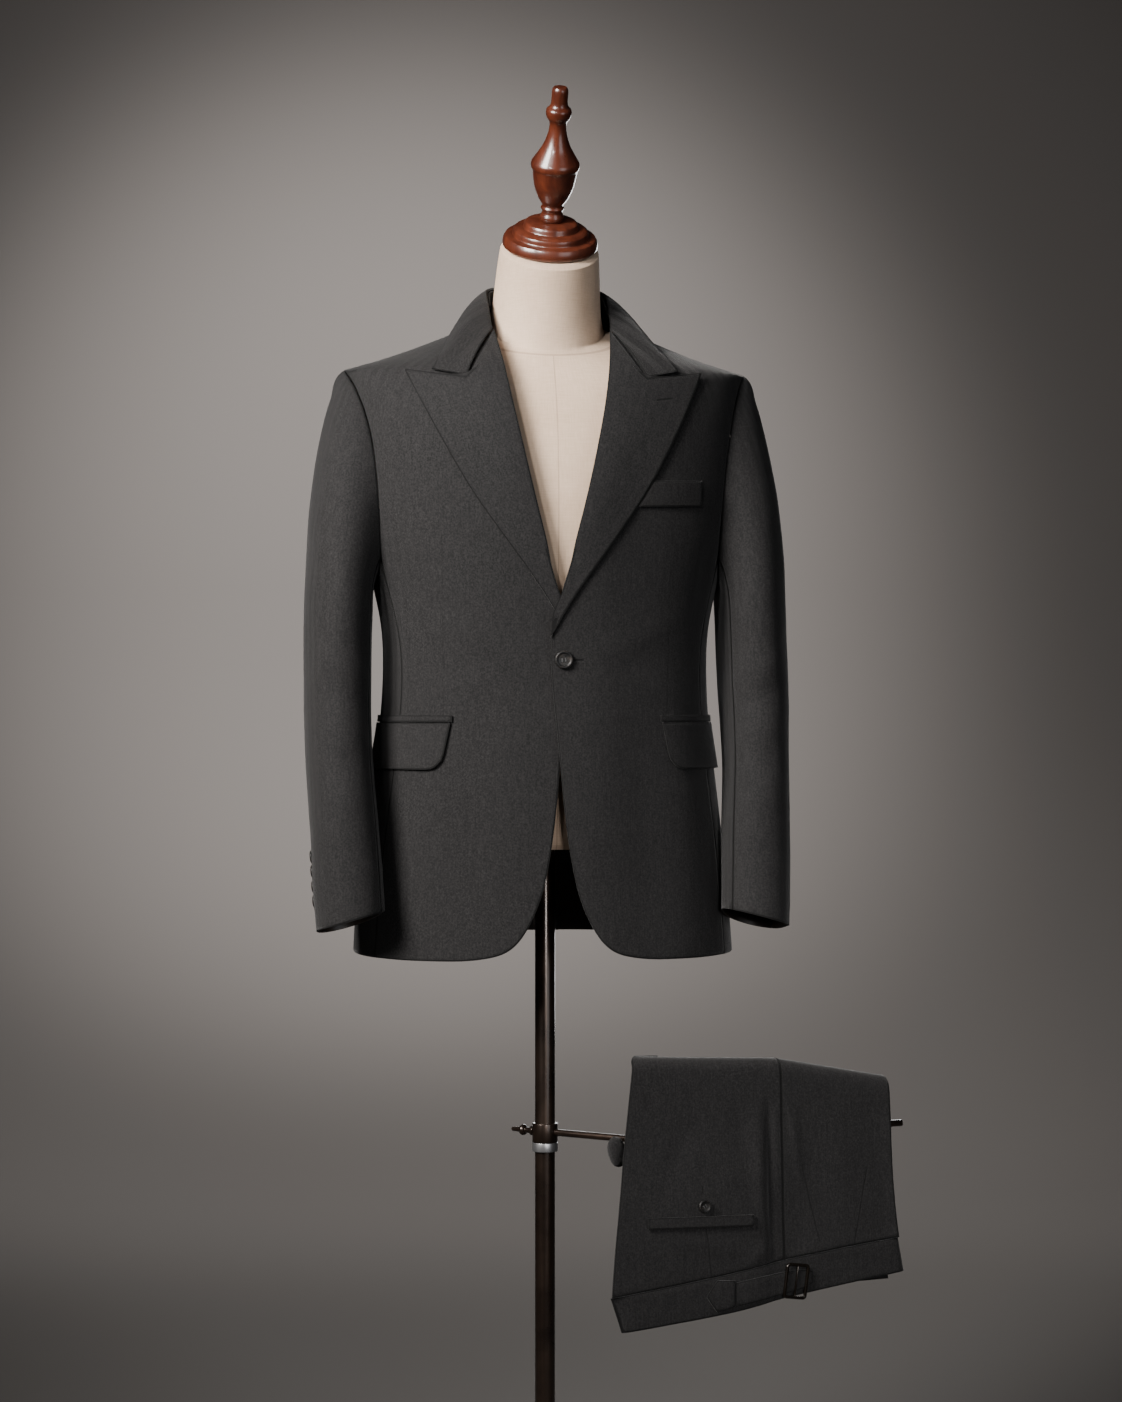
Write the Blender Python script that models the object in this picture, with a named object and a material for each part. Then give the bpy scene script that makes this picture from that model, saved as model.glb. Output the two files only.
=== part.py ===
# A two-piece suit: the jacket is worn by a limbless tailor's form on a pole, and the
# trousers are folded over an arm of the stand. Metres, +Z up, the suit faces -Y, and the
# wearer's left is +X. The origin is the middle of the base's underside, on the pole's axis.

import math
from collections import namedtuple

import bpy
import numpy as np
from mathutils import Matrix, Vector
from mathutils.bvhtree import BVHTree

MM = 0.001

# Driving dimensions, in millimetres
CLOTH = 2.0
SEAM_GAP = 0.3
SHOULDER_Z = 1402
SHOULDER_HALF = 231
NECK_POINT = (80, 1458)
BACK_NECK_Z = 1472
ARMPIT_Z = 1182
SCYE_FLOOR_Z = 1154
BREAK_Z = 1093
CLOSURE_X = 3
OVERLAP_LIFT = 5.8
GORGE_TOP = (66, 1445)
NOTCH = (102, 1386)
LAPEL_TIP = (168, 1396)
VENT_UNDERLAP = 36
BUTTON_RADIUS = 10.3
CUFF_BUTTON_RADIUS = 7.6
POLE_RADIUS = 11.5
FORM_BOTTOM_Z = 858
BASE_RADIUS = 175
ARM_Z = 530
ROD_RADIUS = 4.2

Section = namedtuple("Section", "z half_width front back centre_y front_n back_n")

# Horizontal sections of the jacket's outer surface, from hem to neck
JACKET = [
    Section(720, 222, 152, 130, 22, 2.2, 2.2),
    Section(800, 216, 147, 127, 20, 2.2, 2.2),
    Section(870, 208, 142, 124, 16, 2.2, 2.2),
    Section(945, 198, 134, 116, 10, 2.2, 2.2),
    Section(1010, 190, 127, 108, 5, 2.2, 2.2),
    Section(1075, 187, 122, 103, 2, 2.2, 2.2),
    Section(1120, 189, 123, 105, 0, 2.2, 2.2),
    Section(1154, 198, 125, 109, 0, 2.2, 2.2),
    Section(1190, 206, 128, 114, 0, 2.2, 2.2),
    Section(1260, 216, 131, 122, 0, 2.2, 2.2),
    Section(1320, 221, 127, 127, 0, 2.2, 2.2),
    Section(1365, 226, 117, 123, 0, 2.1, 2.1),
    Section(1402, 231, 102, 113, 0, 1.9, 1.9),
    Section(1421, 170, 90, 103, 0, 1.75, 1.8),
    Section(1435, 134, 80, 95, 0, 1.75, 1.8),
    Section(1447, 104, 68, 86, 0, 1.85, 1.9),
    Section(1458, 80, 56, 76, 0, 2.0, 2.0),
    Section(1480, 79, 55, 73, 0, 2.0, 2.0),
]

Edge = namedtuple("Edge", "z x")

# The wearer's-left front edge, from the cutaway up the closure and the roll line to the neck
FRONT_EDGE = [
    Edge(757, 43), Edge(786, 27), Edge(808, 19), Edge(838, 13), Edge(866, 8.5), Edge(910, 3.2),
    Edge(959, -0.5), Edge(1004, -5), Edge(1037, -8), Edge(1068, -11), Edge(1093, -12),
    Edge(1155, 1), Edge(1200, 15), Edge(1250, 28), Edge(1300, 39.5), Edge(1364, 53),
    Edge(1420, 62), Edge(1445, 66), Edge(1458, 80),
]
LAPEL_OUTER = [
    Edge(1101, -8), Edge(1132, 9), Edge(1165, 31), Edge(1210, 64), Edge(1254, 95),
    Edge(1311, 127), Edge(1356, 150), Edge(1396, 168),
]
HEM = [Edge(757, 43), Edge(745, 58), Edge(738, 84), Edge(735, 112), Edge(735, 165), Edge(737, 222)]
ARMHOLE_FRONT = [Edge(1182, 194), Edge(1230, 195), Edge(1275, 198), Edge(1318, 204), Edge(1345, 210),
                 Edge(1368, 217), Edge(1388, 224.5), Edge(1402, 231)]
ARMHOLE_BACK = [Edge(1182, 196), Edge(1230, 199), Edge(1275, 203), Edge(1318, 208), Edge(1345, 213),
                Edge(1368, 219), Edge(1388, 225.5), Edge(1402, 231)]

SleeveRing = namedtuple("SleeveRing", "z x y half_x half_y lean_y lean_x")

# Rings of the sleeve's outer surface below the armhole, down to the cuff
SLEEVE = [
    SleeveRing(1130, 238.0, -6, 39.5, 80, 0.00, 0.00),
    SleeveRing(1094, 239.0, -8, 39.0, 77, 0.03, 0.02),
    SleeveRing(1060, 239.5, -12, 38.7, 73, 0.06, 0.04),
    SleeveRing(1026, 240.0, -18, 38.5, 69, 0.10, 0.06),
    SleeveRing(992, 240.0, -26, 38.0, 65, 0.14, 0.08),
    SleeveRing(958, 239.5, -35, 37.6, 62, 0.18, 0.11),
    SleeveRing(912, 237.0, -48, 38.0, 57, 0.23, 0.16),
    SleeveRing(866, 234.5, -60, 38.4, 53, 0.26, 0.22),
    SleeveRing(822, 232.5, -70, 38.5, 50, 0.25, 0.25),
    SleeveRing(780, 230.0, -80, 38.5, 48, 0.24, 0.27),
]

FormRing = namedtuple("FormRing", "z half_width front back centre_y tilt rise")

# Rings of the form. Per millimetre of depth, a ring drops by its tilt towards the front and
# goes up by its rise towards the back.
FORM = [
    FormRing(858, 150, 100, 98, 6, 0.0, 0.0),
    FormRing(864, 160, 106, 104, 6, 0.0, 0.0),
    FormRing(930, 170, 110, 104, 6, 0.0, 0.0),
    FormRing(1000, 166, 106, 96, 3, 0.0, 0.0),
    FormRing(1065, 162, 104, 90, 1, 0.0, 0.0),
    FormRing(1120, 166, 108, 94, 0, 0.0, 0.0),
    FormRing(1170, 178, 114, 101, 0, 0.0, 0.0),
    FormRing(1230, 190, 117, 108, 0, 0.0, 0.0),
    FormRing(1290, 200, 115, 112, 0, 0.02, 0.0),
    FormRing(1335, 208, 109, 111, 0, 0.05, 0.0),
    FormRing(1372, 213, 98, 106, 0, 0.08, 0.0),
    FormRing(1396, 214, 88, 102, 0, 0.12, 0.0),
    FormRing(1404.4, 196, 84, 99, 0, 0.16, 0.02),
    FormRing(1412.5, 174, 81, 94, 0, 0.20, 0.05),
    FormRing(1424, 144, 77, 86, 0, 0.27, 0.10),
    FormRing(1436, 113, 73, 74, 0, 0.34, 0.15),
    FormRing(1445, 86, 70, 63, -2, 0.40, 0.22),
    FormRing(1451, 68, 67, 57, -4, 0.44, 0.38),
    FormRing(1470, 62.5, 64, 58, -10, 0.45, 0.45),
    FormRing(1500, 60.5, 61, 56, -21, 0.48, 0.48),
    FormRing(1527, 58, 58, 56, -33, 0.52, 0.52),
    FormRing(1537, 56.5, 56, 55, -38, 0.53, 0.53),
    FormRing(1541, 50, 50, 49, -40, 0.53, 0.53),
]


# Materials

def material(name, colour, roughness, metallic=0.0):
    made = bpy.data.materials.new(name)
    made.use_nodes = True
    shader = made.node_tree.nodes["Principled BSDF"]
    shader.inputs["Base Color"].default_value = (*colour, 1.0)
    shader.inputs["Roughness"].default_value = roughness
    shader.inputs["Metallic"].default_value = metallic
    return made


def clear_scene():
    for obj in list(bpy.data.objects):
        bpy.data.objects.remove(obj)


# Curves and surfaces worked out from the tables

def along(table, x, key, value):
    """A smooth curve through one column of a table, against another."""
    xs = np.array([getattr(row, key) for row in table], float)
    ys = np.array([getattr(row, value) for row in table], float)
    slopes = np.gradient(ys, xs)
    x = min(max(x, xs[0]), xs[-1])
    i = min(max(int(np.searchsorted(xs, x)) - 1, 0), len(xs) - 2)
    step = xs[i + 1] - xs[i]
    t = (x - xs[i]) / step
    rise = ys[i + 1] - ys[i]
    low, high = slopes[i] * step, slopes[i + 1] * step
    if rise == 0:
        low = high = 0
    limit = 3 * abs(rise)
    low = math.copysign(min(abs(low), limit), rise) if low * rise > 0 else 0
    high = math.copysign(min(abs(high), limit), rise) if high * rise > 0 else 0
    return float(
        ys[i] * (2 * t**3 - 3 * t**2 + 1)
        + low * (t**3 - 2 * t**2 + t)
        + ys[i + 1] * (3 * t**2 - 2 * t**3)
        + high * (t**3 - t**2)
    )


def smooth(t):
    t = min(max(t, 0.0), 1.0)
    return t * t * (3 - 2 * t)


def mix(a, b, t):
    return a + (b - a) * t


BELOW_SHOULDER = [row for row in JACKET if row.z <= SHOULDER_Z]
SHOULDER_LINE = [row for row in JACKET if row.z >= SHOULDER_Z]


def half_width(z):
    table = BELOW_SHOULDER if z <= SHOULDER_Z else SHOULDER_LINE
    return along(table, z, "z", "half_width")


def ridge_z(x):
    """Height of the shoulder seam at a distance from the middle."""
    line = [Edge(row.z, row.half_width) for row in reversed(SHOULDER_LINE[:-1])]
    return along(line, abs(x), "x", "z")


def depth(x, z, side):
    """Y of the jacket's outer surface: side -1 is the front, +1 the back."""
    reach = "front" if side < 0 else "back"
    n = along(JACKET, z, "z", reach + "_n")
    share = min(abs(x) / half_width(z), 1.0)
    return along(JACKET, z, "z", "centre_y") + side * along(JACKET, z, "z", reach) * (1 - share**n) ** (1 / n)


def around(angle, z):
    """The jacket's outer surface at an angle from the front centre, in degrees, on the +X side."""
    side = -1 if angle < 90 else 1
    n = along(JACKET, z, "z", "front_n" if side < 0 else "back_n")
    x = half_width(z) * abs(math.sin(math.radians(angle))) ** (2 / n)
    return np.array([x, depth(x, z, side), z])


def angle_at(x, z, side):
    n = along(JACKET, z, "z", "front_n" if side < 0 else "back_n")
    share = min(abs(x) / half_width(z), 1.0)
    angle = math.degrees(math.asin(share ** (n / 2)))
    return angle if side < 0 else 180 - angle


def on_front(x, z):
    return np.array([x, depth(x, z, -1), z])


def on_back(x, z):
    return np.array([x, depth(x, z, 1), z])


def body_normal(point):
    """Unit normal of the jacket's outer surface at a point of it, away from the body."""
    def level(x, y, z):
        side = -1 if y < along(JACKET, z, "z", "centre_y") else 1
        n = along(JACKET, z, "z", "front_n" if side < 0 else "back_n")
        reach = along(JACKET, z, "z", "front" if side < 0 else "back")
        return (abs(x) / half_width(z)) ** n + (abs(y - along(JACKET, z, "z", "centre_y")) / reach) ** n
    x, y, z = (float(c) for c in point)
    h = 0.3
    slope = np.array([
        level(x + h, y, z) - level(x - h, y, z),
        level(x, y + h, z) - level(x, y - h, z),
        level(x, y, z + h) - level(x, y, z - h),
    ])
    return slope / np.linalg.norm(slope)


def off_body(surface, at, distance):
    """A point at a distance out from the jacket's outer surface."""
    base = surface(*at)
    return base + body_normal(base) * distance


def tree_of(grids):
    """A search tree over the faces of some grids of points."""
    points, faces = [], []
    for grid in grids:
        grid = np.asarray(grid, float)
        rows, columns = grid.shape[:2]
        start = len(points)
        points += [Vector(p) for p in grid.reshape(-1, 3).tolist()]
        for i in range(rows - 1):
            for j in range(columns - 1):
                a = start + i * columns + j
                faces += [(a, a + 1, a + columns + 1), (a, a + columns + 1, a + columns)]
    return BVHTree.FromPolygons(points, faces)


def kept_off(point, tree, distance):
    """The point, pushed out where it lies nearer to the jacket than the distance."""
    found = tree.find_nearest(Vector([float(c) for c in point]))
    near = np.array(found[0])
    normal = body_normal(near)
    if (np.asarray(point) - near) @ normal < distance:
        return near + normal * distance
    return np.asarray(point, float)


# Solids

def add_mesh(name, points, faces, finish, shade_angle=40):
    mesh = bpy.data.meshes.new(name)
    mesh.from_pydata([tuple(float(c) * MM for c in p) for p in points], [], faces)
    mesh.materials.append(finish)
    mesh.shade_smooth()
    mesh.set_sharp_from_angle(angle=math.radians(shade_angle))
    obj = bpy.data.objects.new(name, mesh)
    bpy.context.scene.collection.objects.link(obj)
    return obj


def grid_normals(grid, closed):
    """Normals of a grid of points, one for each."""
    grid = np.asarray(grid, float)
    if closed:
        down = np.roll(grid, -1, axis=1) - np.roll(grid, 1, axis=1)
    else:
        down = np.gradient(grid, axis=1)
    across = np.gradient(grid, axis=0)
    normals = np.cross(across, down)
    lengths = np.linalg.norm(normals, axis=2, keepdims=True)
    return normals / np.maximum(lengths, 1e-9)


def wall(name, grid, finish, thickness=CLOTH, closed=False, flip=False, inner=None):
    """A cloth wall: the grid is its outer face, and its inner face is moved in by the thickness."""
    outer = np.asarray(grid, float)
    rows, columns = outer.shape[:2]
    if inner is None:
        inner = outer - grid_normals(outer, closed) * thickness * (-1 if flip else 1)
    points = np.concatenate([outer.reshape(-1, 3), np.asarray(inner, float).reshape(-1, 3)])
    count = rows * columns
    spans = columns if closed else columns - 1
    faces = []
    for i in range(rows - 1):
        for j in range(spans):
            k = (j + 1) % columns
            a, b, c, d = i * columns + j, (i + 1) * columns + j, (i + 1) * columns + k, i * columns + k
            for corners in ((a, b, c), (a, c, d)):
                faces.append(list(corners))
                faces.append([v + count for v in reversed(corners)])
    for j in range(spans):
        k = (j + 1) % columns
        top = (rows - 1) * columns
        faces.append([j, k, k + count, j + count])
        faces.append([top + k, top + j, top + j + count, top + k + count])
    if not closed:
        for i in range(rows - 1):
            a, b = i * columns, (i + 1) * columns
            faces.append([b, a, a + count, b + count])
            c, d = a + columns - 1, b + columns - 1
            faces.append([c, d, d + count, c + count])
    if flip:
        faces = [face[::-1] for face in faces]
    return add_mesh(name, points, faces, finish)


def lofted(name, rings, finish):
    """A closed solid through rings of points, with a flat cap at each end."""
    rings = np.asarray(rings, float)
    count, sides = rings.shape[:2]
    faces = []
    for i in range(count - 1):
        for j in range(sides):
            k = (j + 1) % sides
            faces.append([i * sides + j, i * sides + k, (i + 1) * sides + k, (i + 1) * sides + j])
    faces.append(list(range(sides))[::-1])
    faces.append([(count - 1) * sides + j for j in range(sides)])
    return add_mesh(name, rings.reshape(-1, 3), faces, finish)


def turned(name, profile, finish, sides=24, place=None):
    """A turned piece: the profile holds (radius, height) pairs from one end to the other."""
    rings = [
        [(r * math.cos(2 * math.pi * j / sides), r * math.sin(2 * math.pi * j / sides), h) for j in range(sides)]
        for r, h in profile
    ]
    obj = lofted(name, rings, finish)
    if place is not None:
        obj.matrix_world = place
    return obj


def facing_place(point, direction):
    """A matrix that sets a piece's own +Z along a direction, at a point in millimetres."""
    turn = Vector([float(c) for c in direction]).to_track_quat("Z", "Y").to_matrix().to_4x4()
    return Matrix.Translation(Vector([float(c) * MM for c in point])) @ turn


def mirrored(grid):
    grid = np.array(grid, float)
    grid[..., 0] *= -1
    return grid


# Jacket body

def front_lift(x, z):
    """How far the wearer's-left front stands off, to lap over the other front and its lapel."""
    return OVERLAP_LIFT * smooth((100 - x) / 72) * smooth((1390 - z) / 190)


def no_lift(x, z):
    return 0.0


def side_seam_angle(z, side):
    """Where the side body meets the front (-1) or the back (+1)."""
    share = mix(0.905, 0.946, smooth((z - 1060) / (ARMPIT_Z - 1060)))
    return angle_at(share * half_width(z), z, side)


def hem_z(angle):
    """The hem rises a little from front to back."""
    return mix(736, 752, smooth((angle - 60) / 110))


def front_grid(columns=12, low_rows=11, high_rows=11):
    """Points of a front on the +X side, from the hem up and from the edge to the side."""
    rows = []
    corner_z, top_low = FRONT_EDGE[0].z, ARMPIT_Z
    for i in range(low_rows + high_rows):
        low = min(i / (low_rows - 1), 1.0)
        high = max(0.0, (i - low_rows + 1) / high_rows)
        high = 1 - (1 - high) ** 1.6
        z_edge = mix(corner_z, top_low, low) if high == 0 else mix(top_low, NECK_POINT[1], high)
        z_side = mix(hem_z(60), top_low, low) if high == 0 else mix(top_low, SHOULDER_Z, high)
        x_edge = along(FRONT_EDGE, z_edge, "z", "x")
        if BREAK_Z < z_edge < 1440:
            x_edge += 2.6 * min(1.0, (z_edge - BREAK_Z) / 10)
        if high == 0:
            angle = side_seam_angle(z_side, -1) - 0.09
            x_side = around(angle, z_side)[0]
        else:
            x_side = along(ARMHOLE_FRONT, z_side, "z", "x")
        row = []
        for j in range(columns):
            u = j / (columns - 1)
            spread = mix(math.sin(u * 1.35) / math.sin(1.35), u, smooth(high))
            x = mix(x_edge, x_side, spread)
            z = mix(z_edge, z_side, spread)
            if low < 1:
                hem = along(HEM, x, "x", "z")
                z += (1 - low) ** 3 * (hem - mix(corner_z, hem_z(60), spread))
            if high > 0:
                z += high**2 * (ridge_z(x) - mix(NECK_POINT[1], SHOULDER_Z, spread))
            y = -SEAM_GAP if high == 1 else depth(x, z, -1)
            row.append(np.array([x, y, z]))
        rows.append(row)
    return rows


def vent_lift(x, z):
    return -(CLOTH + 1.2) * smooth((24 + x) / 22) * smooth((1022 - z) / 20)


def back_grid(columns=10, low_rows=11, high_rows=11, underlap=0):
    """Points of a back on the +X side, from the centre seam to the side."""
    neck_columns = 4
    rows = []
    for i in range(low_rows + high_rows):
        low = min(i / (low_rows - 1), 1.0)
        high = max(0.0, (i - low_rows + 1) / high_rows)
        high = 1 - (1 - high) ** 1.6
        row = []
        for j in range(columns):
            u = j / (columns - 1)
            z_low = mix(hem_z(180 - 62 * u), ARMPIT_Z, low)
            angle = side_seam_angle(z_low, 1) + 0.09
            x_side = around(angle, z_low)[0]
            if j <= neck_columns:
                x_top = NECK_POINT[0] * math.sin(math.pi / 2 * j / neck_columns)
                z_top = BACK_NECK_Z - (BACK_NECK_Z - NECK_POINT[1]) * (x_top / NECK_POINT[0]) ** 4
            else:
                t = (j - neck_columns) / (columns - 1 - neck_columns)
                x_top = mix(NECK_POINT[0], SHOULDER_HALF, t)
                z_top = ridge_z(x_top)
            x_low = x_side * math.sin(u * 1.35) / math.sin(1.35)
            z = mix(z_low, mix(ARMPIT_Z, z_top, high), 1.0 if high > 0 else 0.0)
            x_arm = along(ARMHOLE_BACK, mix(ARMPIT_Z, SHOULDER_Z, high), "z", "x")
            spread = mix(x_low / x_side, x_top / SHOULDER_HALF, smooth(high))
            x = x_low if high == 0 else x_arm * spread
            if j == 0:
                x = SEAM_GAP / 2
                if underlap:
                    x -= underlap * smooth((1000 - z) / 30)
            if high == 1:
                x = max(x_top, SEAM_GAP / 2)
            at_ridge = high == 1 and j >= neck_columns
            y = SEAM_GAP if at_ridge else depth(x, z, 1)
            row.append(np.array([x, y, z]))
        rows.append(row)
    return rows


def side_grid(columns=6, rows=11):
    """Points of a side body on the +X side, from its front seam to its back seam."""
    made = []
    for i in range(rows):
        row = []
        for j in range(columns):
            s = j / (columns - 1)
            angle_low = mix(60, 118, s)
            top = ARMPIT_Z - (ARMPIT_Z - SCYE_FLOOR_Z) * math.sin(math.pi * s) ** 0.7
            z = mix(hem_z(angle_low), top, i / (rows - 1))
            angle = mix(side_seam_angle(z, -1) + 0.09, side_seam_angle(z, 1) - 0.09, s)
            row.append(around(angle, z))
        made.append(row)
    return made


def body_wall(name, grid, cloth, side, lift=no_lift):
    """A wall of the jacket's body: its outer face is the grid, lifted off by a rule of x and z."""
    if side < 0:
        grid = mirrored(grid)
    grid = np.asarray(grid, float)
    normals = np.array([[body_normal(p) for p in row] for row in grid])
    lifts = np.array([[[lift(p[0], p[2])] for p in row] for row in grid])
    outer = grid + normals * lifts
    wall(name, outer, cloth, inner=outer - normals * CLOTH, flip=name[:4] != "back" and side > 0
         or name[:4] == "back" and side < 0)
    return outer


def build_body(cloth):
    """The jacket's body; gives back its outer faces, for what lies on them."""
    side = side_grid()
    return [
        body_wall("front_left", front_grid(), cloth, 1, front_lift),
        body_wall("front_right", front_grid(), cloth, -1),
        body_wall("side_left", side, cloth, 1),
        body_wall("side_right", side, cloth, -1),
        body_wall("back_left", back_grid(), cloth, 1),
        body_wall("back_right", back_grid(underlap=VENT_UNDERLAP), cloth, -1, vent_lift),
    ]


# Lapels and collar

def lapel_grid(lift, tree, rows=14):
    """Points of a lapel facing's outer face, from the roll line to its outer edge, and of its inner face."""
    notch = np.array(NOTCH) + np.array([-0.9, -1.3])
    outer_rows, inner_rows = [], []
    for i in range(rows):
        v = i / (rows - 1)
        inner_z = mix(BREAK_Z + 3, GORGE_TOP[1] - 2.0, v)
        inner = np.array([along(FRONT_EDGE, inner_z, "z", "x") - 1.2 * (1 - v), inner_z])
        outer_z = mix(LAPEL_OUTER[0].z, LAPEL_TIP[1], v**0.93)
        outer = np.array([along(LAPEL_OUTER, outer_z, "z", "x"), outer_z])
        outer_row, inner_row = [], []
        for share in (0.0, 0.08, 0.28, 0.5, 0.75, 1.0):
            flat = mix(inner, outer, share)
            top = mix(inner, notch, share * 2)
            if share > 0.5:
                top = mix(notch, np.array(LAPEL_TIP), share * 2 - 1)
            x, z = mix(flat, top, smooth((v - 0.6) / 0.4) ** 2)
            swell = 1.6 * math.sin(math.pi * min(share * 1.6, 1.0))
            swell *= smooth((v - 0.25) / 0.3) * smooth((1 - v) / 0.1)
            stand_off = CLOTH + 0.8 + 1.2 * smooth((v - 0.5) / 0.3)
            point = kept_off(off_body(on_front, (x, z), lift(x, z) + stand_off + swell), tree, stand_off)
            outer_row.append(point)
            below = np.array(tree.find_nearest(Vector(point))[0])
            inner_row.append(mix(point, below, CLOTH / np.linalg.norm(point - below)))
        outer_rows.append(outer_row)
        inner_rows.append(inner_row)
    return outer_rows, inner_rows


CollarStep = namedtuple("CollarStep", "fold_x fold_y fold_z edge_x edge_z side")

# The collar from its front end round to the middle of the back, on the +X side
COLLAR = [
    CollarStep(67.5, -55, 1446.5, 101.4, 1387.2, -1),
    CollarStep(67.8, -52, 1450, 120, 1391.4, -1),
    CollarStep(68.2, -48, 1455, 138, 1395.6, -1),
    CollarStep(69.2, -40, 1466, 130, 1408, -1),
    CollarStep(69.8, -28, 1479, 122, 1421, -1),
    CollarStep(69.8, -19, 1486, 116, 1433, -1),
    CollarStep(69.4, -9, 1492, 110, 1441, -1),
    CollarStep(68.4, 2, 1496, 105, 1444.5, 1),
    CollarStep(65.0, 14, 1499.5, 97, 1446.5, 1),
    CollarStep(58.0, 28, 1502.5, 84, 1449, 1),
    CollarStep(47.0, 40, 1505, 66, 1453, 1),
    CollarStep(33.0, 48, 1506.5, 46, 1457, 1),
    CollarStep(17.0, 53, 1507.5, 24, 1459.5, 1),
    CollarStep(0.0, 54.5, 1508, 0, 1460, 1),
]


def collar_column(step, tree):
    """One line of the collar's fall, from inside its fold down to its outer edge."""
    fold = np.array([step.fold_x, step.fold_y, step.fold_z], float)
    edge = off_body(on_front if step.side < 0 else on_back, (step.edge_x, step.edge_z), CLOTH + 2.2)
    away = np.array([fold[0], fold[1] * 0.85 + 3.0, 0.0])
    away /= np.linalg.norm(away)
    stands = smooth((COLLAR.index(step) - 0.5) / 5)
    column = [fold - away * 1.6 * stands + np.array([0, 0, -1.8 * stands]), fold]
    for t in (0.1, 0.25, 0.42, 0.6, 0.8, 1.0):
        point = mix(fold, edge, t)
        swell = (2 + 3.5 * stands) * math.sin(math.pi * min(1.0, t**0.7))
        point = point + (away + np.array([0, 0, 0.3])) * swell
        if t > 0.35 or stands < 0.6:
            point = kept_off(point, tree, CLOTH + 2.2)
        column.append(point)
    if stands == 0.0 or COLLAR.index(step) == 0:
        column[0] = fold - away * 0.2 + np.array([-0.2, 0, -0.2])
    return column


def both_sides(columns):
    """Columns of a piece from its +X end to the middle, followed by their mirror."""
    other = [[np.array([-p[0], p[1], p[2]]) for p in column] for column in columns[:-1]]
    return columns + other[::-1]


def build_collar(cloth, tree):
    fall = both_sides([collar_column(step, tree) for step in COLLAR])
    wall("collar", fall, cloth, flip=True)
    stand = []
    steps = COLLAR[4:]
    for number, step in enumerate(steps):
        t = number / (len(steps) - 1)
        fold = np.array([step.fold_x, step.fold_y, step.fold_z], float)
        inward = np.array([-fold[0], -(fold[1] * 0.85 + 3.0), 0.0])
        inward /= np.linalg.norm(inward)
        top = fold + inward * 3.0 + np.array([0, 0, -3.4])
        angle = math.pi / 2 * mix(-0.16, 1.0, t)
        foot = np.array([(NECK_POINT[0] - 1.2) * math.cos(angle), 71.5 * math.sin(angle) ** 1.0, 0.0])
        foot[2] = BACK_NECK_Z + 0.7 - (BACK_NECK_Z - NECK_POINT[1]) * (abs(foot[0]) / NECK_POINT[0]) ** 4
        if angle < 0:
            foot[2] = NECK_POINT[1] + 1.0
        stand.append([top, mix(top, foot, 0.35), mix(top, foot, 0.7), foot])
    wall("collar_stand", both_sides(stand), cloth, flip=True, thickness=1.4)


def build_lapels(cloth, left_front, right_front):
    outer, inner = lapel_grid(front_lift, tree_of([left_front]))
    wall("facing_left", outer, cloth, inner=inner, flip=True)
    outer, inner = lapel_grid(no_lift, tree_of([mirrored(right_front)]))
    wall("facing_right", mirrored(outer), cloth, inner=mirrored(inner))


# Sleeves

def resampled(line, count):
    line = np.array(line, float)
    lengths = np.concatenate([[0], np.cumsum(np.linalg.norm(np.diff(line, axis=0), axis=1))])
    wanted = np.linspace(0, lengths[-1], count)
    return np.stack([np.interp(wanted, lengths, line[:, c]) for c in range(3)], axis=1)


def armhole_loop(count, panels):
    """The armhole's edge, from the shoulder down the front, under the arm and up the back."""
    front, side, back = panels
    down = [row[-1] for row in front if row[-1][2] >= ARMPIT_Z - 0.01][::-1]
    up = [row[-1] for row in back if row[-1][2] >= ARMPIT_Z - 0.01]
    floor = list(side[-1])
    middle = len(floor) // 2
    half = [mix(np.array(floor[middle - 1]), np.array(floor[middle]), 0.5)]
    first = resampled(down + floor[:middle] + half, count // 2 + 1)
    second = resampled(half + floor[middle:] + up, count // 2 + 1)
    return np.concatenate([first[:-1], second[:-1]])


def sleeve_ring(row, count):
    ring = []
    for k in range(count):
        angle = 2 * math.pi * k / count
        c, s = math.cos(angle), math.sin(angle)
        x = row.half_x * math.copysign(abs(c) ** 0.92, c)
        y = -row.half_y * math.copysign(abs(s) ** 0.92, s)
        straight = smooth((880 - row.z) / 100) if y < 0 else 0.0
        z = row.z - row.lean_y * y * (1 - 0.75 * straight) - row.lean_x * x
        ring.append([row.x + x, row.y + y, z])
    return np.array(ring)


def sleeve_rings(count, panels, cap_rows=7):
    """Rings of the sleeve's outer face, from the armhole to the cuff. Index 0 is the outer side."""
    start = armhole_loop(count, panels)
    start[:, 0] += 0.4
    end = sleeve_ring(SLEEVE[0], count)
    rings = []
    for i in range(cap_rows):
        t = (i / cap_rows) ** 1.15
        ring = []
        for k in range(count):
            angle = 2 * math.pi * k / count
            top = (1 + math.cos(angle)) / 2
            push = np.array([3 + 20 * top, -7 * math.sin(angle), -5 + 4 * top])
            drop = np.array([0, 0, 8 + 122 * top])
            a, b = start[k], end[k]
            first, second = a + push, b + drop
            ring.append(
                a * (1 - t) ** 3 + 3 * first * t * (1 - t) ** 2 + 3 * second * t * t * (1 - t) + b * t**3
            )
        rings.append(ring)
    return np.array(rings + [sleeve_ring(row, count) for row in SLEEVE])


SLEEVE_SIDES = 20
FORE_SEAM = 8.0
HIND_SEAM = 17.5


def between_columns(rings, at):
    """The line down the sleeve at a place between two of its columns."""
    low = int(math.floor(at)) % SLEEVE_SIDES
    high = (low + 1) % SLEEVE_SIDES
    share = at - math.floor(at)
    return rings[:, low] * (1 - share) + rings[:, high] * share


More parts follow.
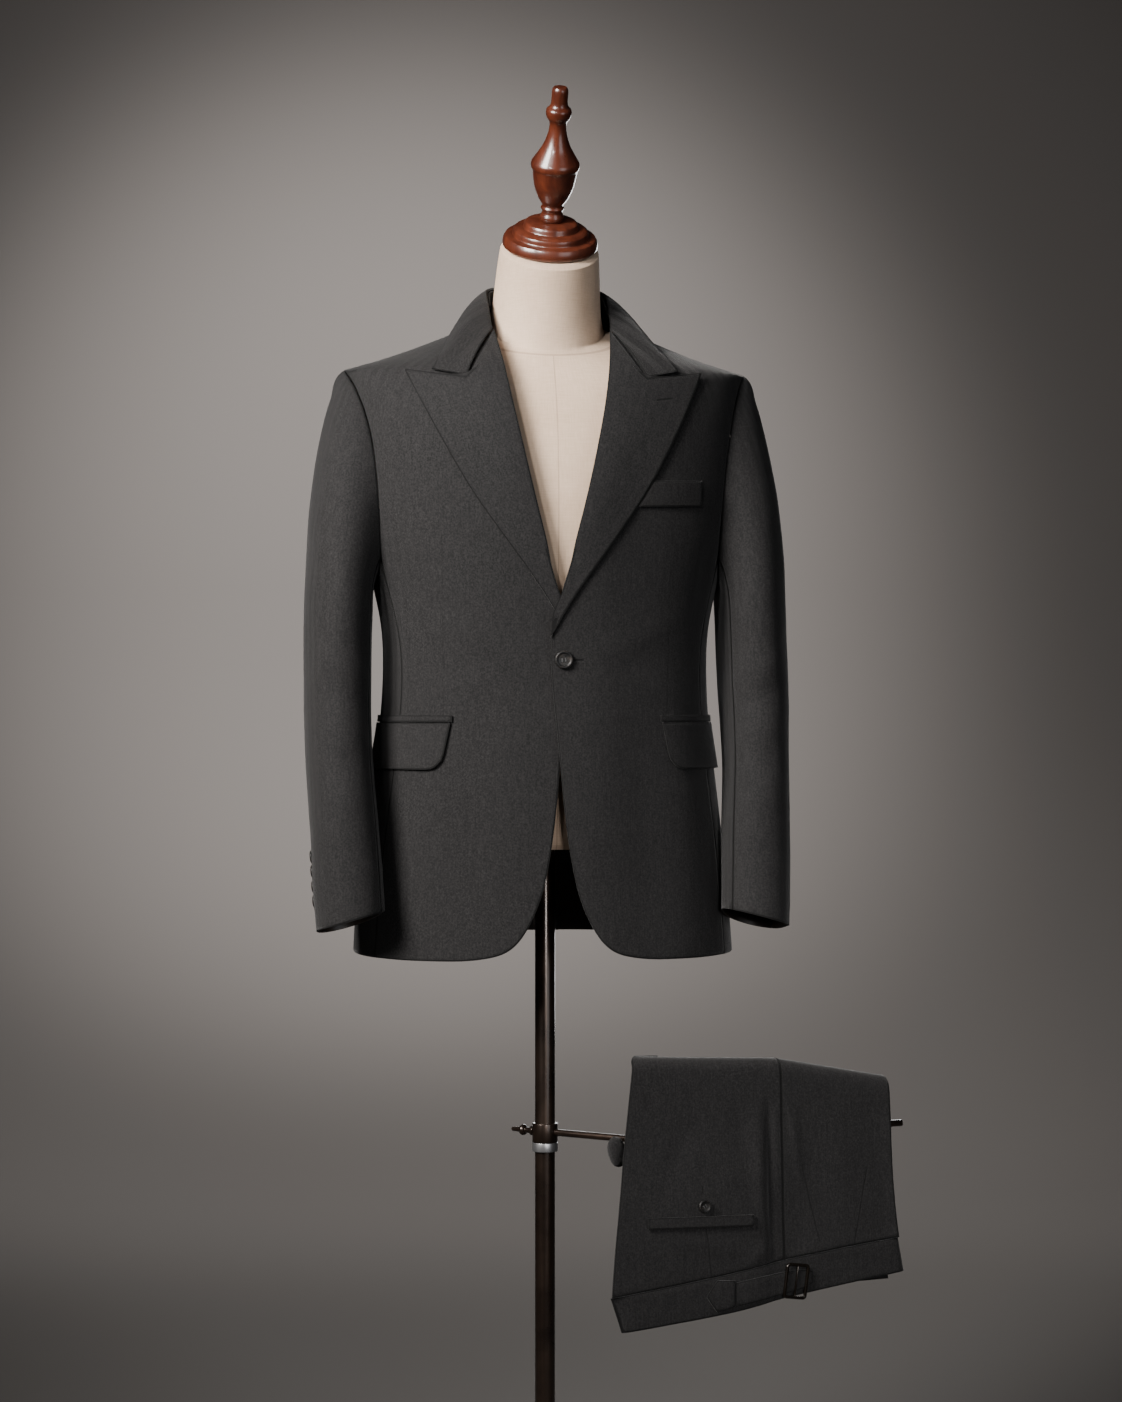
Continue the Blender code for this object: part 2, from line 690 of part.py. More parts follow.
def build_sleeve(side, cloth, body):
    """One sleeve in two pieces; gives back its rings and the top piece's outer face."""
    rings = sleeve_rings(SLEEVE_SIDES, body)
    tree = tree_of(body)
    for i in range(len(rings)):
        keep = mix(0.45, 2.0, min(i / 5, 1.0))
        for j in range(4, 18):
            rings[i][j] = kept_off(rings[i][j], tree, keep)
    inner = rings + grid_normals(rings, True) * CLOTH
    nudge = 0.04
    top_columns = [HIND_SEAM + nudge, *range(18, 28), FORE_SEAM + SLEEVE_SIDES - nudge]
    under_columns = [FORE_SEAM + nudge, *range(9, 18), HIND_SEAM - nudge]
    for name, columns in (("sleeve_top_", top_columns), ("sleeve_under_", under_columns)):
        outer_grid = np.stack([between_columns(rings, c) for c in columns], axis=1)
        inner_grid = np.stack([between_columns(inner, c) for c in columns], axis=1)
        if side < 0:
            outer_grid, inner_grid = mirrored(outer_grid), mirrored(inner_grid)
        wall(name + ("left" if side > 0 else "right"), outer_grid, cloth, inner=inner_grid, flip=side > 0)
    return np.stack([between_columns(rings, c) for c in top_columns], axis=1)


def button_profile(radius, thick):
    return [(radius * 0.85, 0), (radius, thick * 0.45), (radius * 0.94, thick), (radius * 0.76, thick * 0.8)]


def build_buttons(top_sleeve, horn):
    place = off_body(on_front, (CLOSURE_X + 1, 1071), front_lift(4, 1071) + 0.9)
    turned("button_front", button_profile(BUTTON_RADIUS, 3.4), horn, 18,
           facing_place(place, body_normal(on_front(4, 1071))))
    tree = tree_of([top_sleeve])
    for side, word, column, share in ((1, "left", 2, 0.1), (-1, "right", 1, 0.25)):
        line = resampled(mix(top_sleeve[-4:, column], top_sleeve[-4:, column + 1], share), 200)
        down = np.linalg.norm(line - line[-1], axis=1)
        flip = np.array([side, 1, 1])
        for number, above_cuff in enumerate((36, 53, 70, 87)):
            start = line[int(np.argmin(np.abs(down - above_cuff)))]
            near, normal, face, reach = tree.find_nearest(Vector(start))
            normal = np.array(normal) * (1 if normal[0] > 0 else -1)
            spot = np.array(near) + normal * 0.9
            turned(f"cuff_button_{word}_{number + 1}", button_profile(CUFF_BUTTON_RADIUS, 2.8), horn, 12,
                   facing_place(spot * flip, normal * flip))


# Pockets

def flap_grid(side):
    """A hip pocket's flap, hanging from the jet, with a rounded front corner."""
    top_z, bottom_z, corner = 1000.5, 948, 10
    made = []
    for v in (0, 0.3, 0.6, 0.8, 0.92, 1.0):
        row = []
        for u in (0, 0.05, 0.12, 0.24, 0.36, 0.48, 0.6, 0.72, 0.84, 0.93, 1.0):
            z = mix(top_z, bottom_z, v)
            x_front = mix(119, 129, v)
            start = angle_at(x_front, z, -1)
            end = 97 + v
            angle = mix(start, end, u)
            reach = mix(0, 150, u)
            if reach < corner and v > 0.6:
                z += (corner - math.sqrt(max(0.0, corner**2 - (corner - reach) ** 2))) * (v - 0.6) / 0.4
            row.append(off_body(around, (angle, z), CLOTH + 0.9 + 1.2 * v))
        made.append(row)
    return made


def jet_grid(side):
    made = []
    for z in (1009, 1005, 1001.2):
        row = []
        for j in range(9):
            angle = mix(angle_at(117.5, z, -1), 97.5, j / 8)
            row.append(off_body(around, (angle, z), 2.5))
        made.append(row)
    return made


def build_pockets(cloth):
    for side, word in ((1, "left"), (-1, "right")):
        flap = np.array(flap_grid(side))
        jet = np.array(jet_grid(side))
        if side < 0:
            flap, jet = mirrored(flap), mirrored(jet)
        wall("pocket_flap_" + word, flap, cloth, flip=side < 0, thickness=1.8)
        wall("pocket_jet_" + word, jet, cloth, flip=side < 0, thickness=1.6)
    welt = []
    for z in (1272, 1262, 1252, 1243):
        start = along(LAPEL_OUTER, z - 2, "z", "x") + 1.5
        row = [off_body(on_front, (x, z + 3 * (x - 130) / 80), 2.3 + front_lift(x, z))
               for x in np.linspace(start, 166, 6)]
        welt.append(row)
    wall("breast_welt", welt, cloth, thickness=1.7)


# Form and stand

FORM_SIDES = 28


def form_ring(row):
    ring = []
    for k in range(FORM_SIDES):
        angle = 2 * math.pi * k / FORM_SIDES
        x = row.half_width * math.sin(angle)
        y = -math.cos(angle) * (row.front if math.cos(angle) > 0 else row.back)
        ring.append([x, row.centre_y + y, row.z + (row.tilt if y < 0 else row.rise) * y])
    return ring


NECK_TOP = FORM[-1]
NECK_AXIS = np.array([0.0, -NECK_TOP.tilt, 1.0]) / math.hypot(1.0, NECK_TOP.tilt)
NECK_TOP_POINT = np.array([0.0, NECK_TOP.centre_y, NECK_TOP.z])

CAP_PROFILE = [(50, 0.4), (53.0, 2), (54.0, 7), (53.2, 12), (50.5, 15), (43.5, 16), (43.0, 19), (41.5, 22.5),
               (38.5, 24), (31.5, 25), (31.0, 28), (29, 31), (26, 32.2), (15, 32.6)]
FINIAL_PROFILE = [(12.5, 0.3), (13.8, 5), (11.4, 12), (13.4, 17), (12.0, 21), (17, 30), (22.5, 46), (25.4, 65),
                  (27.3, 70), (27.2, 76), (23.5, 83), (15.5, 98), (10.6, 114), (9.6, 127), (13.6, 135),
                  (14.2, 144), (9.6, 151), (9.2, 168), (7.4, 173)]


def kept_under(point, tree, distance):
    """The point, pulled in where it isn't the distance inside the jacket's outer face."""
    near = np.array(tree.find_nearest(Vector(point))[0])
    normal = body_normal(near)
    if (np.asarray(point) - near) @ normal > -distance:
        return near - normal * distance
    return point


def build_form(linen, wood, metal, tree):
    rings = [form_ring(row) for row in FORM]
    for number, row in enumerate(FORM):
        if 1150 < row.z < 1452:
            rings[number] = [kept_under(p, tree, CLOTH + 0.9) for p in rings[number]]
    lofted("form", rings, linen)
    cap_place = facing_place(NECK_TOP_POINT, NECK_AXIS)
    turned("neck_cap", CAP_PROFILE, wood, 24, cap_place)
    top = NECK_TOP_POINT + NECK_AXIS * CAP_PROFILE[-1][1]
    turned("finial", [(r, h * 0.9) for r, h in FINIAL_PROFILE], wood, 16, facing_place(top, NECK_AXIS))
    turned("pole", [(POLE_RADIUS, 18.3), (POLE_RADIUS, FORM_BOTTOM_Z - 0.3)], metal, 20, Matrix.Identity(4))
    turned("base", [(BASE_RADIUS - 3, 0), (BASE_RADIUS, 3), (BASE_RADIUS, 8), (BASE_RADIUS - 4, 11),
                    (60, 16), (24, 18)], metal, 36, Matrix.Identity(4))


ARM_BEND = np.array([98.5, -89.6])
ARM_ALONG = np.array([0.9478, 0.3186])
ARM_FRONT = np.array([0.3186, -0.9478])
ARM_LENGTH = 344


def at_arm(u, n, z):
    """A point from its distance along the arm, its distance in front of it, and its height."""
    flat = ARM_BEND + ARM_ALONG * u + ARM_FRONT * n
    return np.array([flat[0], flat[1], z])


def rod(name, points, radius, finish, across, sides=10):
    """A round bar along a route that lies in one plane, given the plane's normal."""
    points = np.array(points, float)
    rings = []
    for i, point in enumerate(points):
        ahead = points[min(i + 1, len(points) - 1)] - points[max(i - 1, 0)]
        ahead /= np.linalg.norm(ahead)
        other = np.cross(ahead, across)
        turns = [2 * math.pi * k / sides for k in range(sides)]
        rings.append([point + radius * (across * math.cos(a) + other * math.sin(a)) for a in turns])
    return lofted(name, rings, finish)


def rounded_route(corners, radius, steps=5):
    """A route through corners, each turned on a curve."""
    points = [np.array(corners[0], float)]
    for before, corner, after in zip(corners, corners[1:], corners[2:]):
        before, corner, after = (np.array(p, float) for p in (before, corner, after))
        start = corner + (before - corner) / np.linalg.norm(before - corner) * radius
        end = corner + (after - corner) / np.linalg.norm(after - corner) * radius
        for k in range(steps + 1):
            t = k / steps
            points.append(start * (1 - t) ** 2 + 2 * corner * t * (1 - t) + end * t * t)
    points.append(np.array(corners[-1], float))
    return points


def build_clamp(metal, nickel):
    ring = [(13.6, 0), (14.6, 1), (14.6, 21), (13.6, 22)]
    bore = POLE_RADIUS + SEAM_GAP
    for name, profile, z, finish in (
        ("clamp_collar", ring, ARM_Z - 12, metal),
        ("clamp_ring", [(14.2, 0), (14.8, 2), (14.4, 9), (13.8, 10)], ARM_Z - 22.3, nickel),
    ):
        sides = 16
        grid, inner = [], []
        for r, h in profile:
            turn = [2 * math.pi * k / sides for k in range(sides)]
            grid.append([(r * math.cos(a), r * math.sin(a), z + h) for a in turn])
            inner.append([(bore * math.cos(a), bore * math.sin(a), z + h) for a in turn])
        wall(name, grid, finish, closed=True, inner=inner, flip=True)
    toward = np.array([ARM_BEND[0], ARM_BEND[1], 0.0]) / np.linalg.norm(ARM_BEND)
    back = facing_place(-toward * 14.9 + np.array([0, 0, ARM_Z]), -toward)
    turned("clamp_screw", [(5.5, 0), (5.5, 4), (3.4, 4.6), (3.2, 12), (5.6, 13), (6.4, 15.5), (5.6, 18), (3.0, 19),
                           (2.6, 30), (2.0, 31)], metal, 16, back)
    start = toward * 14.9 + np.array([0, 0, ARM_Z])
    corner = at_arm(0, 0, ARM_Z)
    rod("arm", rounded_route([start, corner, at_arm(ARM_LENGTH, 0, ARM_Z)], 18), ROD_RADIUS, metal,
        np.array([0.0, 0.0, -1.0]))


# Trousers, folded over the hoop

LAYER = 7.0
PACKET_BOTTOM = 346


RAIL = [(-20, 609), (171, 599), (320, 571)]


def rail_top(u):
    """Height of the hoop's upper bar, at a distance along the arm."""
    return float(np.interp(u, *zip(*RAIL)))


def packet_line(u, front_n, back_n, top_gap, front_foot, back_foot, steps=4):
    """A line over the hoop: up the front, over the top and down the back, in the arm's own plane."""
    crest = rail_top(u) + ROD_RADIUS + top_gap
    radius = (front_n(u, crest) + back_n) / 2
    middle = (front_n(u, crest) - back_n) / 2
    spring = crest - radius
    line = []
    for k in range(steps):
        z = mix(front_foot, spring, k / steps)
        line.append((front_n(u, z), z))
    for k in range(7):
        turn = math.pi * k / 6
        line.append((middle + radius * math.cos(turn), spring + radius * math.sin(turn)))
    for k in range(1, steps + 1):
        line.append((-back_n, mix(spring, back_foot, k / steps)))
    return line


# The packet's two upright edges, as distances along the arm
LEFT_EDGE = [Edge(320, -39), Edge(357, -52), Edge(376, -53), Edge(434, -45), Edge(533, -32), Edge(626, -19)]
RIGHT_EDGE = [Edge(350, 335), Edge(361, 334), Edge(400, 326), Edge(446, 321), Edge(532, 318), Edge(600, 317)]

# Heights of the waistband's seam and of its free edge, along the arm
WAIST_SEAM = [(-53, 360), (79, 373.5), (171, 386), (252, 395), (326, 400.5)]
WAIST_FOOT = [(-39, 320), (52, 327), (106, 332), (171, 342.5), (252, 352.5), (334, 360.5)]


def left_edge(z):
    return along(LEFT_EDGE, z, "z", "x")


def right_edge(z):
    return along(RIGHT_EDGE, z, "z", "x")


def waist_seam_z(u):
    return float(np.interp(u, *zip(*WAIST_SEAM)))


def waist_foot_z(u):
    return float(np.interp(u, *zip(*WAIST_FOOT)))


def core_front(u, z):
    return ROD_RADIUS + 0.5 + LAYER


def outer_front(u, z):
    """How far the trousers' front face stands before the arm: fuller at the seat, with a roll at the side."""
    full = smooth((585 - z) / 170)
    free = full * smooth((z - 386) / 50)
    seat = 17.4 + full * (11 - 3 * smooth((u - 138) / 18)) - free * 2.5 * smooth((u - 138) / 18)
    dip = 3.0 * math.exp(-((u - 155) / 8) ** 2)
    return seat + free * (1.6 * math.sin(u / 47) - dip)


def clear_of_arm(u, n):
    """The packet's rear half starts further along than its front half, to let the arm in."""
    return u + max(0.0, 24 - u) * smooth((4 - n) / 12)


def panel_lines(columns, foot_back, edges):
    lines = []
    for u in columns:
        foot = waist_seam_z(edges(u, 380)) + SEAM_GAP
        line = packet_line(edges(u, 600), outer_front, 16.4, 12.6, foot, foot_back)
        shifted = []
        for n, z in line:
            shifted.append(at_arm(clear_of_arm(edges(u, z), n), n, z))
        lines.append(shifted)
    return lines


def spread_left(u, z):
    """Lets the packet's left edge follow its outline."""
    return u + (left_edge(z) + 22) * smooth((60 - u) / 82)


def spread_right(u, z):
    return u + (right_edge(z) - 320) * smooth((u - 235) / 85)


def build_trousers(cloth):
    inner_lines, outer_lines = [], []
    for u in (-8, 50, 110, 171, 218, 262, 308):
        core = packet_line(u, core_front, 13, 8.4, PACKET_BOTTOM + 10, PACKET_BOTTOM + 14)
        slot = packet_line(u, lambda u, z: ROD_RADIUS + 0.5, ROD_RADIUS + 0.5, 0.5, PACKET_BOTTOM + 10,
                           PACKET_BOTTOM + 14)
        outer_lines.append([at_arm(clear_of_arm(u, n), n, z) for n, z in core])
        inner_lines.append([at_arm(clear_of_arm(u, n), n, z) for n, z in slot])
    wall("trouser_legs", outer_lines, cloth, inner=inner_lines)
    back_columns = (-22, -10, 15, 45, 75, 105, 130, 145, 157, 170.9)
    front_columns = (171.5, 179, 189, 212, 240, 268, 295, 311, 320)
    wall("trouser_back", panel_lines(back_columns, PACKET_BOTTOM, spread_left), cloth)
    wall("trouser_front", panel_lines(front_columns, PACKET_BOTTOM, spread_right), cloth)


def on_packet(u, z, out=0.0):
    """A point on the trousers' front face, or before it."""
    return at_arm(u, outer_front(u, z) + out, z)


def band_point(u, share, out):
    """A point of the waistband: share 0 is its seam with the panels, 1 its free edge."""
    across = u + share * (14 * (1 - smooth((u + 50) / 70)) + 8 * smooth((u - 250) / 75))
    z = mix(waist_seam_z(across) - SEAM_GAP, waist_foot_z(across), share)
    return on_packet(across, z, out)


def build_waistband(cloth):
    """The waistband, a flattened loop that is open at its free edge."""
    front = (-48, -20, 15, 50, 85, 115, 135, 147, 158, 171, 195, 230, 275, 321)
    rows = []
    for share in (0.0, 0.5, 1.0):
        loop = [band_point(u, share, 0) for u in front]
        loop.append(band_point(326, share, -4))
        loop += [band_point(u, share, -10.5) for u in front[::-2]]
        loop.append(band_point(-53, share, -4))
        rows.append(loop)
    wall("trouser_waistband", rows, cloth, closed=True)


AdjusterStep = namedtuple("AdjusterStep", "u low high")

# The adjuster's two pieces along the waistband, as shares of its height
TAB = [AdjusterStep(66.5, 0.46, 0.42), AdjusterStep(80, 0.9, 0.07), AdjusterStep(92, 0.88, 0.12),
       AdjusterStep(103.4, 0.84, 0.18)]
STRAP = [AdjusterStep(104.2, 0.86, 0.24), AdjusterStep(115, 0.86, 0.24), AdjusterStep(135, 0.87, 0.25),
         AdjusterStep(147, 0.88, 0.27), AdjusterStep(158, 0.88, 0.28), AdjusterStep(171, 0.88, 0.3),
         AdjusterStep(195, 0.87, 0.32), AdjusterStep(207, 0.75, 0.44)]


def strip(steps, out):
    rows = []
    for step in steps:
        rows.append([band_point(step.u, mix(step.high, step.low, t), out) for t in (0, 0.5, 1)])
    return rows


def build_adjuster(cloth, nickel):
    wall("adjuster_tab", strip(TAB, 2.3), cloth, thickness=1.8, flip=True)
    wall("adjuster_strap", strip(STRAP, 2.3), cloth, thickness=1.8, flip=True)
    middle = band_point(184, 0.6, 2.7)
    lean = math.radians(8)
    across = np.array([*ARM_ALONG, 0.0]) * math.cos(lean) + np.array([0, 0, -1.0]) * math.sin(lean)
    up = np.array([0, 0, 1.0]) * math.cos(lean) + np.array([*ARM_ALONG, 0.0]) * math.sin(lean)
    out = np.array([*ARM_FRONT, 0.0])
    rows, inner = [], []
    for lift in (0.0, 2.6):
        for table, half_x, half_z in ((rows, 15.5, 20.5), (inner, 11.6, 16.6)):
            ring = []
            for k in range(16):
                angle = 2 * math.pi * k / 16
                c, sn = math.cos(angle), math.sin(angle)
                x = half_x * math.copysign(abs(c) ** 0.6, c)
                z = half_z * math.copysign(abs(sn) ** 0.6, sn)
                ring.append(middle + across * x + up * z + out * lift)
            table.append(ring)
    wall("buckle", rows, nickel, closed=True, inner=inner, flip=True)


def build_back_pocket(cloth, horn):
    rows = []
    for drop in (0, 6.5, 13):
        rows.append([on_packet(u, 446.5 - 5 * (u + 8) / 136 - drop, 2.2) for u in np.linspace(-8, 128, 8)])
    wall("trouser_jet", rows, cloth, thickness=1.6)
    face = np.array([*ARM_FRONT, 0.0])
    turned("trouser_button", button_profile(7.7, 2.8), horn, 12, facing_place(on_packet(64, 455, 0.7), face))


def build_hoop(metal):
    """The frame inside the fold: an upper bar with an upright at each end, on the arm."""
    foot = ARM_Z + ROD_RADIUS + SEAM_GAP
    left, right = 12, 302
    bar = [at_arm(u, 0, rail_top(u)) for u in (left + 14, 171, right - 14)]
    rise = [at_arm(left, 0, foot), at_arm(left, 0, rail_top(left) - 14), at_arm(left + 4, 0, rail_top(left) - 4)]
    fall = [at_arm(right - 4, 0, rail_top(right) - 4), at_arm(right, 0, rail_top(right) - 14)]
    fall.append(at_arm(right, 0, foot))
    rod("hoop", rise + bar + fall, ROD_RADIUS, metal, np.array([*-ARM_FRONT, 0.0]))


def main():
    clear_scene()
    cloth = material("charcoal_wool", (0.035, 0.035, 0.037), 0.85)
    linen = material("form_linen", (0.62, 0.53, 0.44), 0.9)
    wood = material("red_wood", (0.16, 0.045, 0.018), 0.3)
    metal = material("bronzed_steel", (0.02, 0.014, 0.011), 0.3, 0.8)
    nickel = material("worn_nickel", (0.35, 0.35, 0.35), 0.45, 0.8)
    horn = material("black_horn", (0.012, 0.011, 0.011), 0.25)
    body = build_body(cloth)
    tree = tree_of(body)
    build_lapels(cloth, body[0], body[1])
    build_collar(cloth, tree)
    left = [front_grid(), side_grid(), back_grid()]
    top_sleeve = build_sleeve(1, cloth, left)
    build_sleeve(-1, cloth, left)
    build_buttons(top_sleeve, horn)
    build_pockets(cloth)
    build_form(linen, wood, metal, tree)
    build_clamp(metal, nickel)
    build_hoop(metal)
    build_trousers(cloth)
    build_waistband(cloth)
    build_adjuster(cloth, nickel)
    build_back_pocket(cloth, horn)


main()
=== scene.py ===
# %% [markdown]
# A two-piece suit on a tailor's form.
# The real thing is a charcoal jacket buttoned over a linen-covered form, with its trousers folded
# over an arm of the stand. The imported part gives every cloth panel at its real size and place. This
# lesson keeps those places and gives each panel what the plain solid lacks: smooth curvature, soft
# folds, turned edges, stitching, buttons with holes, and woven, turned and painted finishes.

# %% Load the frame
import math

import bpy
import numpy as np
from mathutils import Matrix, Vector, noise
from mathutils.kdtree import KDTree


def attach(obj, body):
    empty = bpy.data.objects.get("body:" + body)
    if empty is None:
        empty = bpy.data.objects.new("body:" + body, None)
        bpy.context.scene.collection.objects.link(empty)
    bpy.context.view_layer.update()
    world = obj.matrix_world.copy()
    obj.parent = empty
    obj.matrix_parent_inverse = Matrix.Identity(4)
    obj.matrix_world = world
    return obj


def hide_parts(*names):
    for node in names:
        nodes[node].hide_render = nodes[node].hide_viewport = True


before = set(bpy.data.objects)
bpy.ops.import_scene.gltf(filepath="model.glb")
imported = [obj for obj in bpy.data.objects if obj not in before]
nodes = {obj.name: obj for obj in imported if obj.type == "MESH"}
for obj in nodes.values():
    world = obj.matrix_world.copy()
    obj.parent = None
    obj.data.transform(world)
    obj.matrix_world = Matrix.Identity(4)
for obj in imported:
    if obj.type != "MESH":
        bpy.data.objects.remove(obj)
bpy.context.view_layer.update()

MM = 0.001


# %% [markdown]
# The camera stands where the photographer's stood: level, at the height of the jacket's waist, and
# a few degrees to the wearer's right of straight on. A long lens at nearly four metres keeps the
# shoulders and the hem in the same proportion, as a short one close up would not.

# %% Set up the camera
CAMERA_TURN = math.radians(8)
CAMERA_DISTANCE = 3.806
CAMERA_HEIGHT = 1.025
CAMERA_SHIFT = 0.0184


def add_camera():
    ahead = Vector((math.sin(CAMERA_TURN), math.cos(CAMERA_TURN), 0))
    right = Vector((ahead.y, -ahead.x, 0))
    data = bpy.data.cameras.new("camera")
    data.lens = 85
    data.sensor_width = 36
    data.clip_end = 60
    camera = bpy.data.objects.new("camera", data)
    bpy.context.scene.collection.objects.link(camera)
    camera.location = right * CAMERA_SHIFT - ahead * CAMERA_DISTANCE + Vector((0, 0, CAMERA_HEIGHT))
    camera.rotation_euler = ahead.to_track_quat("-Z", "Y").to_euler()
    bpy.context.scene.camera = camera
    print("camera at", tuple(round(c, 3) for c in camera.location))
    return ahead, right


camera_ahead, camera_right = add_camera()


# %% [markdown]
# A plain grey floor carries the stand, and it turns up far behind it in one wide curve, as a paper
# sweep does in a studio, so that no line cuts across the picture. It turns up far enough away for
# the suit to be walked round.

# %% Lay the floor
FLOOR_NEAR, FLOOR_TURN, FLOOR_SIDE, SWEEP_TOP = -6.0, 3.1, 9, 7.0
SWEEP_RADIUS, SWEEP_STEPS = 1.3, 12
PAPER_GREY = (0.078, 0.0725, 0.069, 1)


def sweep_profile():
    profile = [(FLOOR_NEAR, 0.0), (FLOOR_TURN, 0.0)]
    for step in range(1, SWEEP_STEPS + 1):
        a = math.pi / 2 * step / SWEEP_STEPS
        profile.append((FLOOR_TURN + SWEEP_RADIUS * math.sin(a), SWEEP_RADIUS * (1 - math.cos(a))))
    return [*profile, (FLOOR_TURN + SWEEP_RADIUS, SWEEP_TOP)]


def add_floor():
    profile = sweep_profile()
    points = []
    for along, up in profile:
        for across in (-FLOOR_SIDE, FLOOR_SIDE):
            points.append(camera_ahead * along + camera_right * across + Vector((0, 0, up)))
    faces = [(2 * i, 2 * i + 1, 2 * i + 3, 2 * i + 2) for i in range(len(profile) - 1)]
    mesh = bpy.data.meshes.new("floor")
    mesh.from_pydata(points, [], faces)
    mesh.shade_smooth()
    floor = bpy.data.objects.new("floor", mesh)
    bpy.context.scene.collection.objects.link(floor)
    paper = bpy.data.materials.new("studio_paper")
    paper.use_nodes = True
    shader = paper.node_tree.nodes["Principled BSDF"]
    shader.inputs["Base Color"].default_value = PAPER_GREY
    shader.inputs["Roughness"].default_value = 0.95
    mesh.materials.append(paper)
    return floor


floor = add_floor()
print("floor laid:", len(floor.data.polygons), "strips")


# %% [markdown]
# One soft box, high and well round to the left, does nearly all the work, so the right of the suit
# falls into shade and every seam and lapel edge throws a short shadow. A small spot lifts the left
# chest, another the trousers, and weak fills in front and behind keep the shade open. Spots from
# overhead make a pool of light on the paper, brightest behind the figure.

# %% Set the lights
def studio_place(right, ahead, up):
    return camera_right * right + camera_ahead * ahead + Vector((0, 0, up))


def add_light(name, kind, place, aim, power, colour, **settings):
    data = bpy.data.lights.new(name, kind)
    data.energy = power
    data.color = colour
    for key, value in settings.items():
        setattr(data, key, value)
    light = bpy.data.objects.new(name, data)
    bpy.context.scene.collection.objects.link(light)
    light.location = studio_place(*place)
    toward = studio_place(*aim) - light.location
    light.rotation_euler = toward.to_track_quat("-Z", "Y").to_euler()


def soft_box(name, place, aim, power, colour, width, height, spread):
    add_light(name, "AREA", place, aim, power, colour, shape="RECTANGLE", size=width, size_y=height,
              spread=math.radians(spread))


def spot(name, place, aim, power, colour, angle, blend=1.0, softness=0.3):
    add_light(name, "SPOT", place, aim, power, colour, spot_size=math.radians(angle),
              spot_blend=blend, shadow_soft_size=softness)


soft_box("key", (-1.75, -1.8, 2.35), (0.0, 0, 1.15), 38, (1.0, 0.96, 0.92), 1.1, 1.3, 65)
spot("chest_spot", (-1.0, -2.9, 2.2), (-0.12, 0, 1.34), 290, (1.0, 0.97, 0.95), 15, softness=0.25)
spot("low_fill", (0.9, -3.4, 1.3), (0.33, 0, 0.48), 260, (1.0, 0.97, 0.95), 24, 0.9, 0.35)
soft_box("fill", (2.2, -3.0, 1.4), (0.1, 0, 1.0), 8, (0.94, 0.97, 1.0), 1.8, 2.2, 90)
soft_box("back_fill", (0.5, 3.0, 1.2), (0, 0, 1.0), 3.5, (0.97, 0.98, 1.0), 1.2, 1.6, 50)
spot("paper_spot", (-0.3, 1.2, 3.0), (-0.35, 4.4, 1.42), 1750, (1.0, 0.96, 0.93), 50)
spot("paper_wash", (-0.2, 1.2, 3.0), (-0.2, 4.4, 1.4), 330, (1.0, 0.96, 0.94), 110)
spot("floor_spot", (-0.3, 3.2, 3.4), (-0.3, 3.2, 0), 330, (1.0, 0.97, 0.94), 80)
world = bpy.data.worlds.new("studio")
bpy.context.scene.world = world
world.use_nodes = True
world.node_tree.nodes["Background"].inputs["Color"].default_value = (0.95, 0.97, 1.0, 1)
world.node_tree.nodes["Background"].inputs["Strength"].default_value = 0.03
print("lights set:", len(bpy.data.lights))


# %% [markdown]
# Materials are node trees, and building one takes many small steps. A few helpers keep them short:
# one starts a material, and one adds a node with its inputs. A value that is another node's output
# becomes a link, and anything else is set on the socket itself. The rest name the nodes used most.

# %% Make the node helpers
def feed(tree, socket, value):
    if isinstance(value, bpy.types.NodeSocket):
        tree.links.new(value, socket)
    else:
        socket.default_value = value


def add_node(tree, kind, inputs=None, **settings):
    node = tree.nodes.new(kind)
    for key, value in settings.items():
        setattr(node, key, value)
    for key, value in (inputs or {}).items():
        feed(tree, node.inputs[key], value)
    return node


def calc(tree, operation, a, b=0.0, c=0.0):
    return add_node(tree, "ShaderNodeMath", {0: a, 1: b, 2: c}, operation=operation).outputs[0]


def vector_calc(tree, operation, first, second=(0.0, 0.0, 0.0), scale=1.0):
    inputs = {0: first, 1: second, 3: scale}
    return add_node(tree, "ShaderNodeVectorMath", inputs, operation=operation).outputs


def clamped(tree, value):
    return add_node(tree, "ShaderNodeClamp", {0: value}).outputs[0]


def map_range(tree, value, low, high, at_low=0.0, at_high=1.0):
    inputs = {0: value, 1: low, 2: high, 3: at_low, 4: at_high}
    return add_node(tree, "ShaderNodeMapRange", inputs).outputs[0]


def split(tree, vector):
    return add_node(tree, "ShaderNodeSeparateXYZ", {0: vector}).outputs


def place_of(tree, kind="Object"):
    return add_node(tree, "ShaderNodeTexCoord").outputs[kind]


def stretched(tree, vector, factors):
    return vector_calc(tree, "MULTIPLY", vector, factors)[0]


def cloudy(tree, vector, scale, detail, **more):
    inputs = {"Vector": vector, "Scale": scale, "Detail": detail, **more}
    return add_node(tree, "ShaderNodeTexNoise", inputs).outputs["Fac"]


def blend_colour(tree, share, first, second):
    node = add_node(tree, "ShaderNodeMix", {"Factor": share}, data_type="RGBA")
    for key, value in ((6, first), (7, second)):
        feed(tree, node.inputs[key], (*value, 1) if isinstance(value, tuple) else value)
    return node.outputs[2]


def new_material(name, specular=0.5, **fixed):
    made = bpy.data.materials.new(name)
    made.use_nodes = True
    shader = made.node_tree.nodes["Principled BSDF"]
    shader.inputs["Specular IOR Level"].default_value = specular
    for key, value in fixed.items():
        shader.inputs[key.replace("_", " ").title()].default_value = value
    return made, made.node_tree, shader


